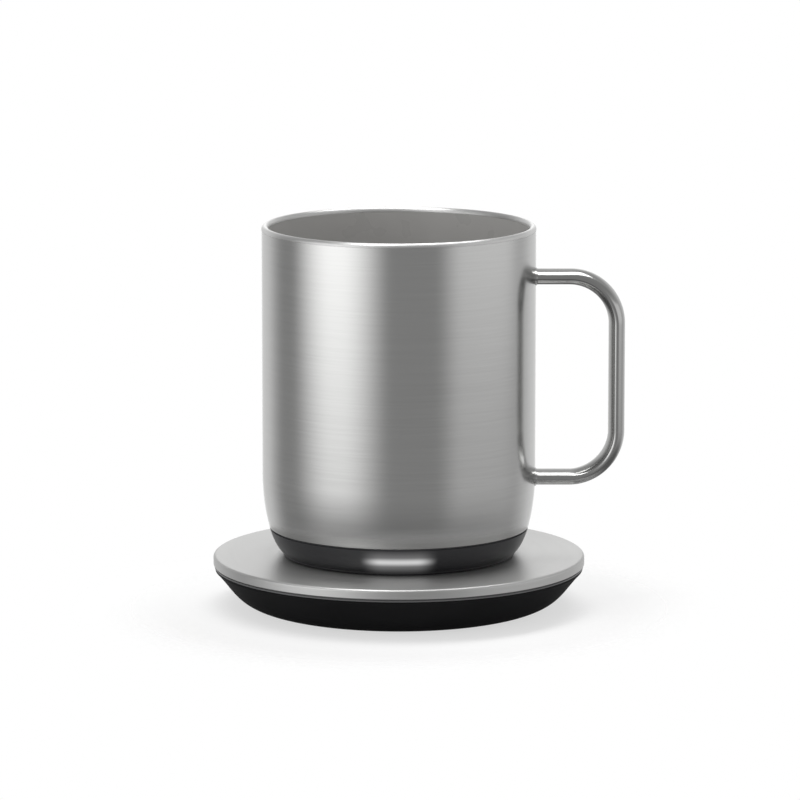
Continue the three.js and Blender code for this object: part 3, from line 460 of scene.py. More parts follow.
def makeFinishes():
    # Colours and roughness each run between two values, and sizes are in mm
    return {
        "wallSteel": brushedStainlessSteel("stainless_steel_brushed_wall", brushed),
        "plateSteel": brushedStainlessSteel("stainless_steel_brushed_plate", {
            **brushed, "roughness": (0.42, 0.47), "stretch": 0.3,
        }),
        "lipSteel": brushedStainlessSteel("stainless_steel_brushed_lip", {
            **brushed, "colours": (0xD8D8D7, 0xDEDEDD), "roughness": (0.38, 0.42), "stretch": 0.8,
        }),
        # satin polished rod: soft mirror with faint cloudy marks
        "rodSteel": mottledMetal("stainless_steel_satin_polished", (0xB2B2B1, 0xB6B6B5), (0.16, 0.18),
                                 9, 2, 0.004),
        "coating": ceramicCoating(),
        "smoked": smokedPolycarbonate(),
        # dull black plastic from a finely blasted mould
        "bowlPlastic": mouldedPolymer("abs_moulded_black_matt", (0x151516, 0x1A1A1B), (0.55, 0.65), 0.25,
                                      settings={"Specular IOR Level": 0.06}),
        # satin black plastic from a spark eroded mould
        "blackPlastic": mouldedPolymer("abs_moulded_black", (0x141415, 0x19191A), (0.36, 0.46), 0.25),
        "trimPlastic": mouldedPolymer("abs_moulded_grey", (0x555556, 0x5D5D5E), (0.35, 0.45), 0.25),
        "greyPlastic": mouldedPolymer("nylon_moulded_grey", (0x4E4F50, 0x58595A), (0.45, 0.55), 0.3),
        # matt silicone, moulded: dull with a fine tooth
        "silicone": mouldedPolymer("silicone_moulded_black", (0x1A1A1A, 0x212121), (0.7, 0.85), 0.35, 0.3),
        "greySilicone": mouldedPolymer("silicone_moulded_grey", (0x48484A, 0x505052), (0.7, 0.85),
                                       0.35, 0.3),
        # bright plating, with only slow changes of gloss
        "gold": mottledMetal("brass_gold_plated", (0xD9B15C, 0xE3BE6C), (0.2, 0.32), 4, 2),
        "wire": mottledMetal("spring_steel_drawn", (0xA9AAAC, 0xBABBBD), (0.2, 0.35), (0.3, 0.3, 1.5)),
        "screwSteel": mottledMetal("steel_zinc_plated", (0x8E9094, 0xA5A7AA), (0.3, 0.45), 0.5),
        "aluminium": mottledMetal("aluminium_rolled", (0xC0C2C4, 0xCED0D2), (0.3, 0.42), (18, 0.4, 18)),
        # soft laminate, slightly crumpled
        "pouch": mottledMetal("aluminium_laminate_pouch", (0x8E969F, 0xA5ADB5), (0.3, 0.5), 5, 5, 0.4),
        "boardGreen": solderMaskBoard(),
        "film": polyimideFilm(),
        "foam": closedCellFoam(),
        "ivory": mouldedPolymer("nylon_moulded_ivory", (0xD2CCBD, 0xDCD6C8), (0.4, 0.5), 0.3),
        "lightBar": diffusingAcrylic(),
        # soft silicone sleeves of the leads
        "redSleeve": mouldedPolymer("silicone_sleeve_red", (0xA52E26, 0xB1362C), (0.45, 0.6), 0.2),
        "blackSleeve": mouldedPolymer("silicone_sleeve_black", (0x1B1B1B, 0x242424), (0.45, 0.6), 0.2),
    }


finishes = makeFinishes()
print("materials ready")


def dress(piece, finish, body, slot, *nodes):
    # Gives a piece its material and its body, and hides the CAD nodes that it stands for. Its slot is not
    # used.
    piece.data.materials.clear()
    piece.data.materials.append(finishes[finish])
    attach(piece, body)
    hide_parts(*nodes)


# Mug wall

wall = {
    "thick": 0.8, "flange": 3.5, "edge": 0.25, "curveSteps": 40, "straightSteps": 11, "edgeSteps": 5,
    # its lower side is an ellipse quarter
    "curveTop": coasterTop + 24.95, "curveFall": 24.7, "curveReach": 8,
}


def sideRadius(height):
    # The ellipse quarter of the lower side: reach times the square root of 1 less the squared fall share
    share = np.clip((wall["curveTop"] - height) / wall["curveFall"], 0, 1)
    return mugRadius - wall["curveReach"] + wall["curveReach"] * np.sqrt(1 - share ** 2)


def sideCurve(bottom, top, inset, steps):
    # Points on that ellipse between two heights, at even angles, moved inwards by inset
    heights = np.array([bottom, min(top, wall["curveTop"])])
    ends = np.degrees(np.arcsin(np.clip((heights - wall["curveTop"]) / wall["curveFall"], -1, 0)))
    centre = (mugRadius - wall["curveReach"] - inset, wall["curveTop"])
    return arc(centre, (wall["curveReach"], wall["curveFall"]), ends[0], ends[1], steps)


def makeWall():
    # Upright outside, then the ellipse quarter down to a small quarter circle at the seam, and back up
    # inside, all of it one thickness further in
    top = lip["low"] - hairline
    edge, thick, steps = wall["edge"], wall["thick"], wall["curveSteps"]
    flangeInner = sideRadius(seam) - wall["flange"]
    outside = sideCurve(seam + edge, mugTop, 0, steps)
    inside = sideCurve(seam + thick, mugTop, thick, steps)
    foot = arc((outside[0, 0] - edge, seam + edge), (edge, edge), -90, -10, wall["edgeSteps"])
    straight = np.linspace(outside[-1, 1], top, wall["straightSteps"] + 1)[1:]
    profile = np.concatenate([
        [[flangeInner, seam]], foot, outside,
        np.stack([np.full(len(straight), mugRadius), straight], 1),
        [[mugRadius - thick, top]], inside[::-1], [[flangeInner, seam + thick]],
    ])
    piece = turned("brushed_wall", profile, fineTurn)
    dress(piece, "wallSteel", "mug", "brushed_steel", "outer_shell")


# Inner cup: the rolled lip in bright steel, and the coated vessel that hangs from it

lip = {"width": 2, "skirt": 0.3, "fall": 1.35, "steps": 24}  # fall: how far its inner half slopes down
lip["low"] = mugTop - lip["width"] / 2 - lip["skirt"]
vessel = {"wall": 0.8, "draw": 1.5, "fillet": 8, "steps": 16}  # it draws in from the lip to its floor


def makeCup():
    # The lip is a quarter circle outside and an ellipse quarter inside. The vessel is a straight wall with
    # a quarter circle down to its floor, once outside and once inside.
    bottom = low("inner_cup")[2]
    half = lip["width"] / 2
    level = mugTop - half
    inner = mugRadius - lip["width"]
    outer = inner + vessel["wall"]
    inside = mugTop - lip["fall"]
    profile = np.concatenate([
        [[outer, lip["low"]], [mugRadius, lip["low"]]],
        arc((mugRadius - half, level), (half, half), 0, 90, lip["steps"]),
        arc((mugRadius - half, inside), (half, lip["fall"]), 90, 180, lip["steps"])[1:],
        [[inner, inside - hairline], [outer, inside - hairline]],
    ])
    dress(turned("rolled_lip", profile, fineTurn), "lipSteel", "mug", "brushed_steel", "inner_cup")
    bend = vessel["fillet"] + vessel["wall"]
    centre = (outer - vessel["draw"] - bend, bottom + bend)
    vesselProfile = np.concatenate([
        [[0, bottom]], arc(centre, (bend, bend), -90, 0, vessel["steps"]),
        [[outer, inside - 2 * hairline], [inner, inside - 2 * hairline]],
        arc(centre, (vessel["fillet"], vessel["fillet"]), 0, -90, vessel["steps"]),
        [[0, bottom + vessel["wall"]]],
    ])
    dress(turned("coated_vessel", vesselProfile), "coating", "mug", "coated_steel", "inner_cup")


# Handle: an oval rod bent into a square loop and welded to the wall

rod = {
    "thick": 4.9, "wide": 10, "bend": 14.05,
    "bury": 0.55, "weld": 0.35,  # how far its ends go into the wall, and the fillet of the weld round them
    "weldShares": (0, 0.12, 0.25, 0.4, 0.6, 0.8),  # of the fillet, where its shape is worked out
    "sides": 64, "bendSteps": 40, "runSteps": 29, "gripSteps": 23, "leastStep": 0.2,
}


def rodPath(start, grip, upper, lower):
    # Out along the upper run, a quarter circle, down the grip, a quarter circle and back in, as places in
    # the XZ plane
    bend = rod["bend"]
    turnDown = arc((grip - bend, upper - bend), (bend, bend), 90, 0, rod["bendSteps"])
    turnBack = arc((grip - bend, lower + bend), (bend, bend), 0, -90, rod["bendSteps"])
    runOut = np.linspace(start, grip - bend, rod["runSteps"] + 1)[:-1]
    welded = np.array(rod["weldShares"]) * rod["weld"] + rod["bury"] + start
    runOut = np.concatenate([[start], welded, runOut[runOut > welded[-1] + rod["leastStep"]]])
    down = np.linspace(upper - bend, lower + bend, rod["gripSteps"] + 1)[1:-1]
    return np.concatenate([
        np.stack([runOut, np.full(len(runOut), upper)], 1), turnDown,
        np.stack([np.full(len(down), grip), down], 1), turnBack,
        np.stack([runOut[::-1], np.full(len(runOut), lower)], 1),
    ])


def makeHandle():
    # An ellipse carried along the path: path plus across times cos t, and width times sin t along Y
    grip = high("handle")[0] - rod["thick"] / 2
    upper = high("handle")[2] - rod["thick"] / 2
    lower = low("handle")[2] + rod["thick"] / 2
    start = mugRadius - rod["bury"]
    path = rodPath(start, grip, upper, lower)
    along = np.gradient(path, axis=0)
    along /= np.linalg.norm(along, axis=1, keepdims=True)
    across = np.stack([-along[:, 1], along[:, 0]], 1)
    # the section swells near the wall as a quarter circle, the weld's fillet
    gap = np.clip((path[:, 0] - start - rod["bury"]) / rod["weld"], 0, 1)
    swell = rod["weld"] * (1 - np.sqrt(1 - (1 - gap) ** 2))
    angle = np.arange(rod["sides"]) / rod["sides"] * tau
    depth = (rod["thick"] / 2 + swell)[:, None] * np.cos(angle)
    width = (rod["wide"] / 2 + swell)[:, None] * np.sin(angle)
    rings = np.stack([path[:, :1] + across[:, :1] * depth, width, path[:, 1:] + across[:, 1:] * depth], 2)
    dress(tube("welded_handle", rings), "rodSteel", "mug", "brushed_steel", "handle")


# Dark base of the mug

base = {
    "wall": 1.8, "lip": 1.5, "edge": 0.35, "topEdge": 0.2, "chamfer": 0.15, "curveSteps": 36,
    "ledgeReach": 6.5, "ledge": (4.1, 5.3), "ledgeEdge": 0.2,
    # its lower edge in shares of edge, out from the side and up, and its upper edge in mm
    "edgeShares": ((-1.6, 0), (-0.7, 0.25), (-0.25, 1)), "topCorners": ((0.02, -0.05), (-0.2, 0)),
    "footRing": 6, "ringEdge": 0.3, "sealWidth": 3.2, "sealEdge": 0.1,
}


def makeBase():
    bottom, top = levels("base_skirt")
    opening = sideRadius(bottom) - base["lip"]
    ledgeLow, ledgeTop = coasterTop + np.array(base["ledge"])
    ledgeInner = opening - base["ledgeReach"]
    ledgeEdge, chamfer = base["ledgeEdge"], base["chamfer"]
    side = sideCurve(bottom + 2 * base["edge"], top - base["topEdge"], 0, base["curveSteps"])
    profile = np.concatenate([
        filleted([(ledgeInner, ledgeTop, ledgeEdge), (ledgeInner, ledgeLow, ledgeEdge),
                  (opening, ledgeLow, 0), (opening, bottom, 0)])[:-1],
        [[opening, bottom + chamfer], [opening + chamfer, bottom]],
        [side[0, 0], bottom] + np.array(base["edgeShares"]) * base["edge"],
        side,
        [side[-1, 0], top] + np.array(base["topCorners"]),
        [[side[-1, 0] - base["wall"], top], [sideRadius(ledgeTop) - base["wall"], ledgeTop]],
    ])
    skirt = turned("smoked_base_ring", profile, fineTurn)
    dress(skirt, "smoked", "mug", "black_plastic", "base_skirt")
    for name, node, width, edge, finish in (
        ("seam_seal", "base_gasket", base["sealWidth"], base["sealEdge"], "greySilicone"),
        ("standing_ring", "foot_ring", base["footRing"], base["ringEdge"], "silicone"),
    ):
        outer = high(node)[0]
        dress(ring(name, outer - width, outer, *levels(node), edge), finish, "mug", "black_rubber", node)


# Cover, contacts and button in the mug's underside

cover = {
    "edge": 0.2, "ringWidth": 2, "groove": 0.1, "grooveDepth": 0.4, "ringThick": 0.5, "ringEdge": 0.12,
    "stud": 0.8, "headRoom": 2.1, "headDepth": 1.1, "shankRoom": 1.2, "shankTurn": 44, "grooveTurn": 128,
}
button = {
    "radius": 4.5, "edge": 0.3, "dish": 0.25, "flange": 0.4, "flangeEdge": 0.1,
    "turn": 96, "dishSteps": 8, "edgeSteps": 5,
}


def makeCover():
    bottom, top = levels("base_cover")
    plate = disc("bottom_cover", high("base_cover")[0], bottom, top, cover["edge"])
    half, edge, thick = cover["ringWidth"] / 2, cover["ringEdge"], cover["ringThick"]
    reach = half + cover["groove"]
    under, over = bottom - overrun, top + overrun
    cutters = [drill("button_hole", button["radius"] + fitGap, under, over, segments=button["turn"])]
    for side, place in pinPlaces.items():
        cutters.append(ring("groove_" + side, abs(place) - reach, abs(place) + reach, under,
                            bottom + cover["grooveDepth"], 0, cover["grooveTurn"], 0.5))
    for i in (1, 2, 3):
        spot = middle(f"base_screw_{i}")[:2]
        cutters.append(drill(f"head_{i}", cover["headRoom"], under, bottom + cover["headDepth"], spot))
        cutters.append(drill(f"shank_{i}", cover["shankRoom"], under, over, spot, cover["shankTurn"]))
    dress(carved(plate, cutters), "blackPlastic", "mug", "black_plastic", "base_cover")
    for side, place in pinPlaces.items():
        node = "contact_ring_" + side
        level, top = levels(node)
        contact = ring("charging_ring_" + side, abs(place) - half, abs(place) + half, level, level + thick,
                       edge, hiddenTurn)
        stud = disc("stud", cover["stud"], level + thick / 2, top, edge, smallTurn, (0, place))
        dress(carved(contact, [stud], "UNION"), "gold", "mug", "brass", node)


def makeButton():
    # Its pressed face is dished, a parabola that is deepest in the middle
    bottom, top = levels("power_button")
    radius, edge = button["radius"], button["edge"]
    flangeLow = top - button["flange"]
    share = np.linspace(0, 1, button["dishSteps"] + 1)[:-1]
    face = np.stack([share * (radius - edge), bottom + button["dish"] * (1 - share ** 2)], 1)
    corner = arc((radius - edge, bottom + edge), (edge, edge), -90, 0, button["edgeSteps"])
    flange, flangeEdge = high("power_button")[0], button["flangeEdge"]
    outside = filleted([(radius, bottom + edge, 0), (radius, flangeLow, 0), (flange, flangeLow, flangeEdge),
                        (flange, top, flangeEdge), (0, top, 0)], closed=False)
    piece = turned("press_button", np.concatenate([face, corner, outside[1:]]), button["turn"])
    dress(piece, "greyPlastic", "power_button", "grey_plastic", "power_button")


# Coaster

plate = {"edge": 2.78, "round": 0.8, "thick": 0.9, "lowerEdge": 0.2, "holeEdge": 0.25, "roundSteps": 14}


def makePlate():
    bottom = coasterTop - plate["edge"]
    inner = coasterRadius - plate["thick"]
    hole = hubRadius + fitGap
    corners = [
        (hole, coasterTop - plate["thick"], 0), (inner, coasterTop - plate["thick"], 0),
        (inner, bottom, 0), (coasterRadius, bottom, plate["lowerEdge"]),
        (coasterRadius, coasterTop, plate["round"]), (hole, coasterTop, plate["holeEdge"]),
    ]
    piece = turned("brushed_plate", filleted(corners, steps=plate["roundSteps"]), fineTurn)
    dress(piece, "plateSteel", "coaster", "brushed_steel", "coaster_top_plate")


carrier = {
    "thick": 1.4, "rim": 0.75, "rimWidth": 2.5, "rimEdge": 0.12,
    "groove": 0.25, "grooveDepth": 0.35,  # a shadow line between the plate's edge and the band that shows
    "bossRadius": 3, "bossEdge": 0.2, "holeRadius": 1.3,
}
bossPlaces = [middle(f"coaster_screw_{i}")[:2] for i in (1, 2, 3)]


def makeCarrier():
    bottom, top = levels("coaster_carrier")
    radius = high("coaster_carrier")[0]
    rimTop = coasterTop - plate["edge"] - seatGap
    rimLow = rimTop - carrier["rim"]
    bandTop = rimTop - carrier["groove"]
    diskLow = top - carrier["thick"]
    hole = hubRadius + fitGap
    inside = coasterRadius - plate["thick"] - fitGap
    rimInner, grooveInner = radius - carrier["rimWidth"], radius - carrier["grooveDepth"]
    corners = [
        (hole, diskLow, 0), (rimInner, diskLow, 0), (rimInner, rimLow, 0),
        (radius, rimLow, carrier["rimEdge"]), (radius, bandTop, carrier["rimEdge"]),
        (grooveInner, bandTop, 0), (grooveInner, rimTop, 0),
        (inside, rimTop, 0), (inside, top, 0), (hole, top, 0),
    ]
    piece = turned("trim_carrier", filleted(corners), fineTurn)
    bossTop, holeTop = top - carrier["thick"] / 2, diskLow - carrier["thick"]
    bosses = [disc(f"boss_{i}", carrier["bossRadius"], bottom, bossTop, carrier["bossEdge"],
                   smallTurn, spot) for i, spot in enumerate(bossPlaces)]
    holes = [drill(f"hole_{i}", carrier["holeRadius"], bottom - overrun, holeTop, spot)
             for i, spot in enumerate(bossPlaces)]
    carved(piece, bosses, "UNION")
    carved(piece, holes)
    dress(piece, "trimPlastic", "coaster", "grey_plastic", "coaster_carrier")


bowl = {
    "inset": 0.45, "reach": 19, "wall": 1.8, "floor": 2.8, "edge": 0.2, "steps": 48, "edgeSteps": 4,
    "padProud": 0.2, "padDepth": 1.0, "soleEdge": 0.25,  # the sole and the recess that it sits in
    "cradle": 8, "postRadius": 2.4, "postEdge": 0.2, "screwHole": 1.2, "sinkRadius": 2.5, "sinkDepth": 1.1,
    # pulls of its outline, as shares of its reach and height
    "curveShares": ((0.996, 0.949), (0.714, 0.492), (0.67, 0), (0, 0)),
}
postPlaces = [middle(f"coaster_board_screw_{i}")[:2] for i in (1, 2)]


def bowlSide(top):
    # A cubic curve through its four pulls: the cubed and squared shares of a step weigh the four points
    foot = coasterRadius - bowl["inset"] - bowl["reach"]
    proud = bowl["padProud"]
    pulls = np.array(bowl["curveShares"]) * [bowl["reach"], top - proud] + [foot, proud]
    share = np.linspace(0, 1, bowl["steps"] + 1)[:, None]
    return ((1 - share) ** 3 * pulls[0] + 3 * (1 - share) ** 2 * share * pulls[1]
            + 3 * (1 - share) * share ** 2 * pulls[2] + share ** 3 * pulls[3])


def makeBowl():
    # Its inner side is the outer curve moved inwards along its normals by the wall's thickness
    top, radius = high("coaster_bowl")[2], high("coaster_bowl")[0]
    floorLevel, wallThick = bowl["floor"], bowl["wall"]
    outside = bowlSide(top)[::-1]
    slope = np.gradient(outside, axis=0)
    slope /= np.linalg.norm(slope, axis=1, keepdims=True)
    inside = (outside + np.stack([-slope[:, 1], slope[:, 0]], 1) * wallThick)[::-1]
    inside = inside[(inside[:, 1] > floorLevel + seatGap) & (inside[:, 1] < top - wallThick)]
    padEdge = high("coaster_foot_pad")[0] + fitGap
    edge = arc((radius - bowl["edge"], top - bowl["edge"]), (bowl["edge"], bowl["edge"]), 0, 90,
               bowl["edgeSteps"])
    profile = np.concatenate([
        [[0, bowl["padDepth"]], [padEdge, bowl["padDepth"]], [padEdge, bowl["padProud"]]],
        outside, edge, [[radius - wallThick, top]],
        inside, [[inside[-1, 0] - wallThick, floorLevel], [0, floorLevel]],
    ])
    piece = turned("moulded_bowl", profile, fineTurn)
    back, half, jackLow = low("power_jack")[1], high("power_jack")[0], low("power_jack")[2]
    root = bowl["padDepth"] + wallThick / 2
    parts = [block("cradle", (-half, back, root), (half, back + bowl["cradle"], jackLow - seatGap))]
    cutters = [block("window", (-half - fitGap, back - fitGap, jackLow - fitGap),
                     (half + fitGap, radius + overrun, top + overrun))]
    for i, spot in enumerate(postPlaces):
        parts.append(disc(f"post_{i}", bowl["postRadius"], root, low("coaster_board")[2] - seatGap,
                          bowl["postEdge"], smallTurn, spot))
        cutters.append(drill(f"pilot_{i}", bowl["screwHole"], floorLevel, top, spot))
    for i, spot in enumerate(bossPlaces):
        sinkTop = bowl["padDepth"] + bowl["sinkDepth"]
        cutters.append(drill(f"sink_{i}", bowl["sinkRadius"], 0, sinkTop, spot))
        cutters.append(drill(f"through_{i}", carrier["holeRadius"], 0, floorLevel + overrun, spot))
    carved(piece, parts, "UNION")
    carved(piece, cutters)
    dress(piece, "bowlPlastic", "coaster", "black_plastic", "coaster_bowl")
    sole = disc("grip_sole", padEdge - fitGap, *levels("coaster_foot_pad"), bowl["soleEdge"])
    dress(sole, "silicone", "coaster", "black_rubber", "coaster_foot_pad")


hub = {"flangeThick": 1.2, "edge": 0.45, "pinHole": 1.2}


def makeHub():
    bottom, top = levels("contact_hub")
    flange = high("contact_hub")[0]
    level = bottom + hub["flangeThick"]
    corners = [(0, bottom, 0), (flange, bottom, 0), (flange, level, 0), (hubRadius, level, 0),
               (hubRadius, top, hub["edge"]), (0, top, 0)]
    piece = turned("raised_hub", filleted(corners, closed=False), hiddenTurn)
    holes = [drill(f"pinHole_{side}", hub["pinHole"], bottom - overrun, top + overrun, (place, 0))
             for side, place in pinPlaces.items()]
    dress(carved(piece, holes), "blackPlastic", "coaster", "black_plastic", "contact_hub")


pin = {"radius": 0.9, "tip": 0.55, "tipSteps": 8, "collar": 1.4, "collarThick": 0.8, "tail": 0.55}


def makePins():
    collarTop = low("contact_hub")[2] - seatGap
    collarLow = collarTop - pin["collarThick"]
    for side, place in pinPlaces.items():
        node = "contact_pin_" + side
        bottom, top = levels(node)
        profile = np.concatenate([
            [[0, bottom], [pin["tail"], bottom], [pin["tail"], collarLow], [pin["collar"], collarLow],
             [pin["collar"], collarTop], [pin["radius"], collarTop]],
            arc((0, top - pin["tip"]), (pin["radius"], pin["tip"]), 0, 90, pin["tipSteps"])[:-1],
            [[0, top]],
        ])
        piece = turned("sprung_pin_" + side, profile, smallTurn, (place, 0))
        dress(piece, "gold", node, "brass", node)


spring = {"radius": 1.1, "wire": 0.2, "pitch": 0.8, "sides": 12, "turnSteps": 32}


def makeSprings():
    # A circle carried along a helix: (reach cos t, reach sin t, height), reach and height being the helix's
    # own plus the wire's cosine and sine.
    for side, place in pinPlaces.items():
        node = "pin_spring_" + side
        bottom, top = levels(node) + np.array([1, -1]) * spring["wire"]
        turns = max(1, int((top - bottom + 2 * spring["wire"]) / spring["pitch"]))
        share = np.linspace(0, 1, turns * spring["turnSteps"] + 1)[:, None]
        turn = tau * turns * share
        around = np.arange(spring["sides"]) / spring["sides"] * tau
        reach = spring["radius"] + spring["wire"] * np.cos(around)
        height = bottom + (top - bottom) * share + spring["wire"] * np.sin(around)
        rings = np.stack([place + reach * np.cos(turn), reach * np.sin(turn), height], 2)
        piece = tube("pin_coil_" + side, rings)
        piece.data.materials.append(finishes["wire"])
        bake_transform(piece)
        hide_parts(node)


socket = {"edge": 0.35, "edgeSteps": 3, "wall": 0.5, "depth": 12, "pinEdge": 0.3}


def lyingRod(name, radius, start, end, height, fillet=0):
    # A rod along Y, made upright and laid down about X in its mesh
    piece = disc(name, radius, -end, -start, fillet, smallTurn)
    piece.data.transform(Matrix.Translation((0, 0, height * mm)) @ Matrix.Rotation(np.pi / 2, 4, "X"))
    return piece


def makeSocket():
    bottom, top = low("power_jack"), high("power_jack")
    level = (bottom[2] + top[2]) / 2
    body = block("supply_socket", bottom, top)
    edges = body.modifiers.new("edges", "BEVEL")
    edges.width, edges.segments = socket["edge"] * mm, socket["edgeSteps"]
    boreRadius, boreEnd = top[2] - level - socket["wall"], top[1] - socket["depth"]
    bore = lyingRod("bore", boreRadius, boreEnd, top[1] + overrun, level)
    dress(carved(body, [bore]), "blackPlastic", "coaster", "black_plastic", "power_jack")
    pinStart, pinEnd = low("jack_pin")[1], high("jack_pin")[1]
    contact = lyingRod("socket_pin", high("jack_pin")[0], pinStart, pinEnd, level, socket["pinEdge"])
    dress(contact, "gold", "coaster", "brass", "jack_pin")


makeWall()
makeCup()
makeHandle()
makeBase()
makeCover()
makeButton()
print("mug made")
makePlate()
makeCarrier()
makeBowl()
makeHub()
makePins()
makeSprings()
makeSocket()
print("coaster made")


# Materials for the CAD nodes that stay in view, all of them inside the housings

nodeFinishes = {
    "aluminium": ("heater_plate", "radio_module"),
    "film": ("heater_film",),
    "foam": ("insulation_pad",),
    "gold": ("temperature_sensor", "pin_barrel_inner", "pin_barrel_outer"),
    "greyPlastic": ("battery_tray",),
    "pouch": ("battery_cell_left", "battery_cell_right"),
    "boardGreen": ("circuit_board", "coaster_board"),
    "blackPlastic": ("control_chip", "power_transistor", "inductor", "tact_switch"),
    "ivory": ("heater_connector", "battery_connector"),
    "lightBar": ("status_led", "light_guide"),
    "redSleeve": tuple(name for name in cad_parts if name.endswith("_lead_left")),
    "blackSleeve": tuple(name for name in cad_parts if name.endswith(("_lead_right", "_lead"))),
    "silicone": ("button_seal",),
    "screwSteel": tuple(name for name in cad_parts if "screw" in name),
}


def finishNodes():
    for finish, names in nodeFinishes.items():
        for name in names:
            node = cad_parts[name]
            node.data.materials.clear()
            node.data.materials.append(finishes[finish])


finishNodes()
print("inner pieces finished")


# Floor: matt near the object for its shadow, and clear further out, where the white studio takes over.
# To the camera it is partly its own light, so that the shadow stays as pale as in a white tent.

floor = {
    "radius": 190, "thick": 0.95, "drop": 0.05, "segments": 128,
    "fadeStart": 58, "fadeEnd": 100,  # distances over which it goes clear, in mm
    "colour": 0xFAFAFA, "lift": 0.62,
    "mirrored": 0.38,  # the share of it that the steel mirrors, so that the room behind it shows through
}


def makeFloor():
    level = -floor["drop"]
    piece = disc("floor", floor["radius"], level - floor["thick"], level, 0, floor["segments"])
    material, tree, shader = newMaterial("painted_board_matt", {
        "Base Color": linear(floor["colour"]), "Roughness": 0.9, "Specular IOR Level": 0.1,
    })
    rays = addNode(tree, "LightPath")
    lift = addNode(tree, "Math", {0: rays.outputs["Is Camera Ray"], 1: floor["lift"]}, operation="MULTIPLY")
    white = addNode(tree, "Emission", {"Strength": 1.0})
    lit = addNode(tree, "MixShader", {0: lift, 1: shader, 2: white})
    source = addNode(tree, "TexCoord").outputs["Object"]
    away = addNode(tree, "VectorMath", {0: source}, operation="LENGTH").outputs["Value"]
    near = addNode(tree, "MapRange", {
        "Value": away, "From Min": floor["fadeStart"] * mm, "From Max": floor["fadeEnd"] * mm, **falling,
    }, **smooth)
    kept = addNode(tree, "MapRange", {
        "Value": rays.outputs["Is Glossy Ray"], "To Min": 1, "To Max": floor["mirrored"],
    })
    shown = addNode(tree, "Math", {0: near, 1: kept}, operation="MULTIPLY")
    clear = addNode(tree, "BsdfTransparent")
    whole = addNode(tree, "MixShader", {0: shown, 1: clear, 2: lit})
    feed(tree, tree.nodes["Material Output"], {"Surface": whole})
    piece.data.materials.append(material)


makeFloor()


# Studio: a white background and soft panels round the object. Azimuth 0 is towards the camera and
# positive to its right. Levels are brightnesses, with 1 as white.

studio = {
    "ambient": 0.55,  # level light on matt surfaces
    "dark": 0.33,  # the unlit room that polished steel mirrors
    "deep": 0.16,  # the same below the table's level
    "fadeTop": 13, "fadeBottom": 36,  # angles below the level between which the far panels end, in degrees
    "crownLow": 12, "crownHigh": 36,  # elevations between which a far panel drops to its crown's share
    "far": (
        {"azimuth": 180, "half": 8, "soft": 10, "level": 0.9, "crown": 0.2},
        {"azimuth": 181, "half": 51, "soft": 17, "level": 0.45, "crown": 0.3},
        {"azimuth": 121, "half": 9, "soft": 12, "level": 0.16, "crown": 1},
        {"azimuth": -53, "half": 26, "soft": 22, "level": 0.5, "crown": 0.1},
        {"azimuth": 76.5, "half": 34.5, "soft": 13, "level": 0.2, "crown": 0.1},
    ),
    # near panels stand upright, at a distance in mm and from one height to another, and their lower edge
    # fades over a height of its own
    "near": (
        {"azimuth": -53, "half": 26, "soft": 22, "level": 1.1,
         "distance": 600, "bottom": -130, "top": 260, "fade": 210},
        {"azimuth": 76.5, "half": 34.5, "soft": 13, "level": 0.44,
         "distance": 600, "bottom": -70, "top": 260, "fade": 130},
    ),
    # the lamp overhead hangs level and is aimed at the object's middle, all in mm
    "overhead": {"place": (-10, 10, 900), "aim": (0, 0, 60), "size": (1200, 340), "level": 4.8},
}


def rise(degrees):  # the height of a direction of length 1 at that elevation
    return np.sin(np.radians(degrees))


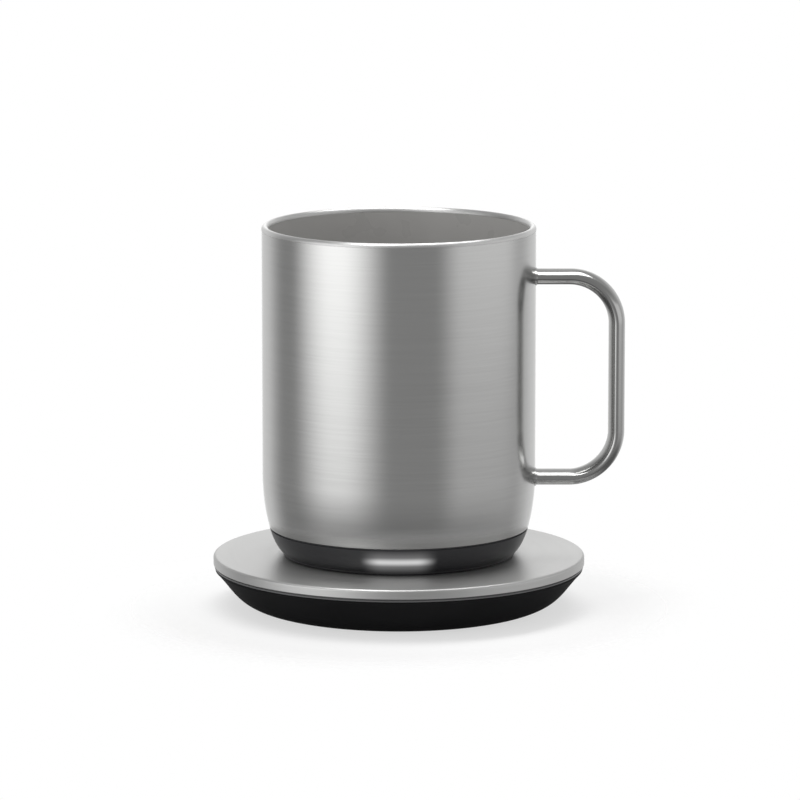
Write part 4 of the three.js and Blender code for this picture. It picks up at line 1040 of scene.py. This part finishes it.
def makeWorld():
    # Each far panel eases off beside its azimuth and above its crown. Camera and transmission rays see
    # plain white, glossy rays see the panels, and matt surfaces get the level light.
    world = bpy.data.worlds.new("studio")
    bpy.context.scene.world = world
    tree = emptyTree(world)
    parts = addNode(tree, "SeparateXYZ", {0: addNode(tree, "TexCoord").outputs["Generated"]})
    azimuth = azimuthOf(tree, parts)
    panels = 0.0
    for panel in studio["far"]:
        turn = np.radians(panel["azimuth"])
        offset = addNode(tree, "Math", {0: azimuth, 1: turn}, operation="SUBTRACT")
        wrapped = addNode(tree, "Math", {0: offset, 1: np.pi, 2: -np.pi}, operation="WRAP")
        bright = addNode(tree, "MapRange", {
            "Value": addNode(tree, "Math", {0: wrapped}, operation="ABSOLUTE"),
            "From Min": np.radians(panel["half"] - panel["soft"]), "To Min": panel["level"],
            "From Max": np.radians(panel["half"] + panel["soft"]), "To Max": 0,
        }, **smooth)
        crown = addNode(tree, "MapRange", {
            "Value": parts.outputs[2], "To Min": 1, "To Max": panel["crown"],
            "From Min": rise(studio["crownLow"]), "From Max": rise(studio["crownHigh"]),
        }, **smooth)
        panels = addNode(tree, "Math", {0: bright, 1: crown, 2: panels}, operation="MULTIPLY_ADD")
    above = addNode(tree, "MapRange", {
        "Value": addNode(tree, "Math", {0: parts.outputs[2], 1: -1.0}, operation="MULTIPLY"),
        "From Min": rise(studio["fadeTop"]), "From Max": rise(studio["fadeBottom"]), **falling,
    }, **smooth)
    room = addNode(tree, "MapRange", {
        "Value": above, "To Min": studio["deep"], "To Max": studio["dark"],
    })
    level = addNode(tree, "Math", {0: panels, 1: above, 2: room}, operation="MULTIPLY_ADD")
    rays = addNode(tree, "LightPath")
    seen = addNode(tree, "Math", {
        0: rays.outputs["Is Camera Ray"], 1: rays.outputs["Is Transmission Ray"],
    }, operation="MAXIMUM")
    mirrored = addNode(tree, "Mix", {
        "Factor": rays.outputs["Is Glossy Ray"], 2: studio["ambient"], 3: level,
    })
    strength = addNode(tree, "Mix", {"Factor": seen, 2: mirrored, 3: 1.0})
    background = addNode(tree, "Background", {"Color": (1, 1, 1, 1), "Strength": strength})
    addNode(tree, "OutputWorld", {"Surface": background})


def addLamp(name, place, aim, size, level):
    # A rectangular lamp whose power gives its face the brightness level: level times pi times its area
    data = bpy.data.lights.new(name, "AREA")
    data.shape = "RECTANGLE"
    data.size, data.size_y = size[0] * mm, size[1] * mm
    data.energy = level * np.pi * data.size * data.size_y
    holder = addObject(name, data)
    holder.location = np.array(place) * mm
    away = np.array(place, float) - aim
    holder.rotation_euler = (np.arctan2(np.hypot(away[0], away[1]), away[2]), 0,
                             np.arctan2(away[1], away[0]) + np.pi / 2)
    return data


def makeNearPanels():
    # Each eases off to its sides and to its lower edge, by its face's own shares across and up
    for i, panel in enumerate(studio["near"]):
        turn = np.radians(panel["azimuth"])
        reach = panel["distance"]
        level = (panel["bottom"] + panel["top"]) / 2
        place = (reach * np.sin(turn), -reach * np.cos(turn), level)
        full, end = reach * np.tan(np.radians(panel["half"] + np.array([-1, 1]) * panel["soft"]))
        width = 2 * end
        height = panel["top"] - panel["bottom"]
        tree = emptyTree(addLamp(f"panel{i}", place, (0, 0, level), (width, height), panel["level"]))
        parts = addNode(tree, "SeparateXYZ", {0: addNode(tree, "NewGeometry").outputs["Parametric"]})
        offset = addNode(tree, "Math", {0: parts.outputs[0], 1: 0.5}, operation="SUBTRACT")
        across = addNode(tree, "MapRange", {
            "Value": addNode(tree, "Math", {0: offset}, operation="ABSOLUTE"),
            "From Min": full / width, "From Max": 0.5, **falling,
        }, **smooth)
        upright = addNode(tree, "MapRange", {
            "Value": addNode(tree, "Math", {0: 1.0, 1: parts.outputs[1]}, operation="SUBTRACT"),
            "From Min": 1 - panel["fade"] / height, "From Max": 1.0, **falling,
        }, **smooth)
        shine = addNode(tree, "Math", {0: across, 1: upright}, operation="MULTIPLY")
        addNode(tree, "OutputLight", {"Surface": addNode(tree, "Emission", {"Strength": shine})})


makeWorld()
makeNearPanels()
addLamp("overhead", **studio["overhead"])
bpy.context.scene.view_settings.view_transform = "Standard"
print("studio lit")
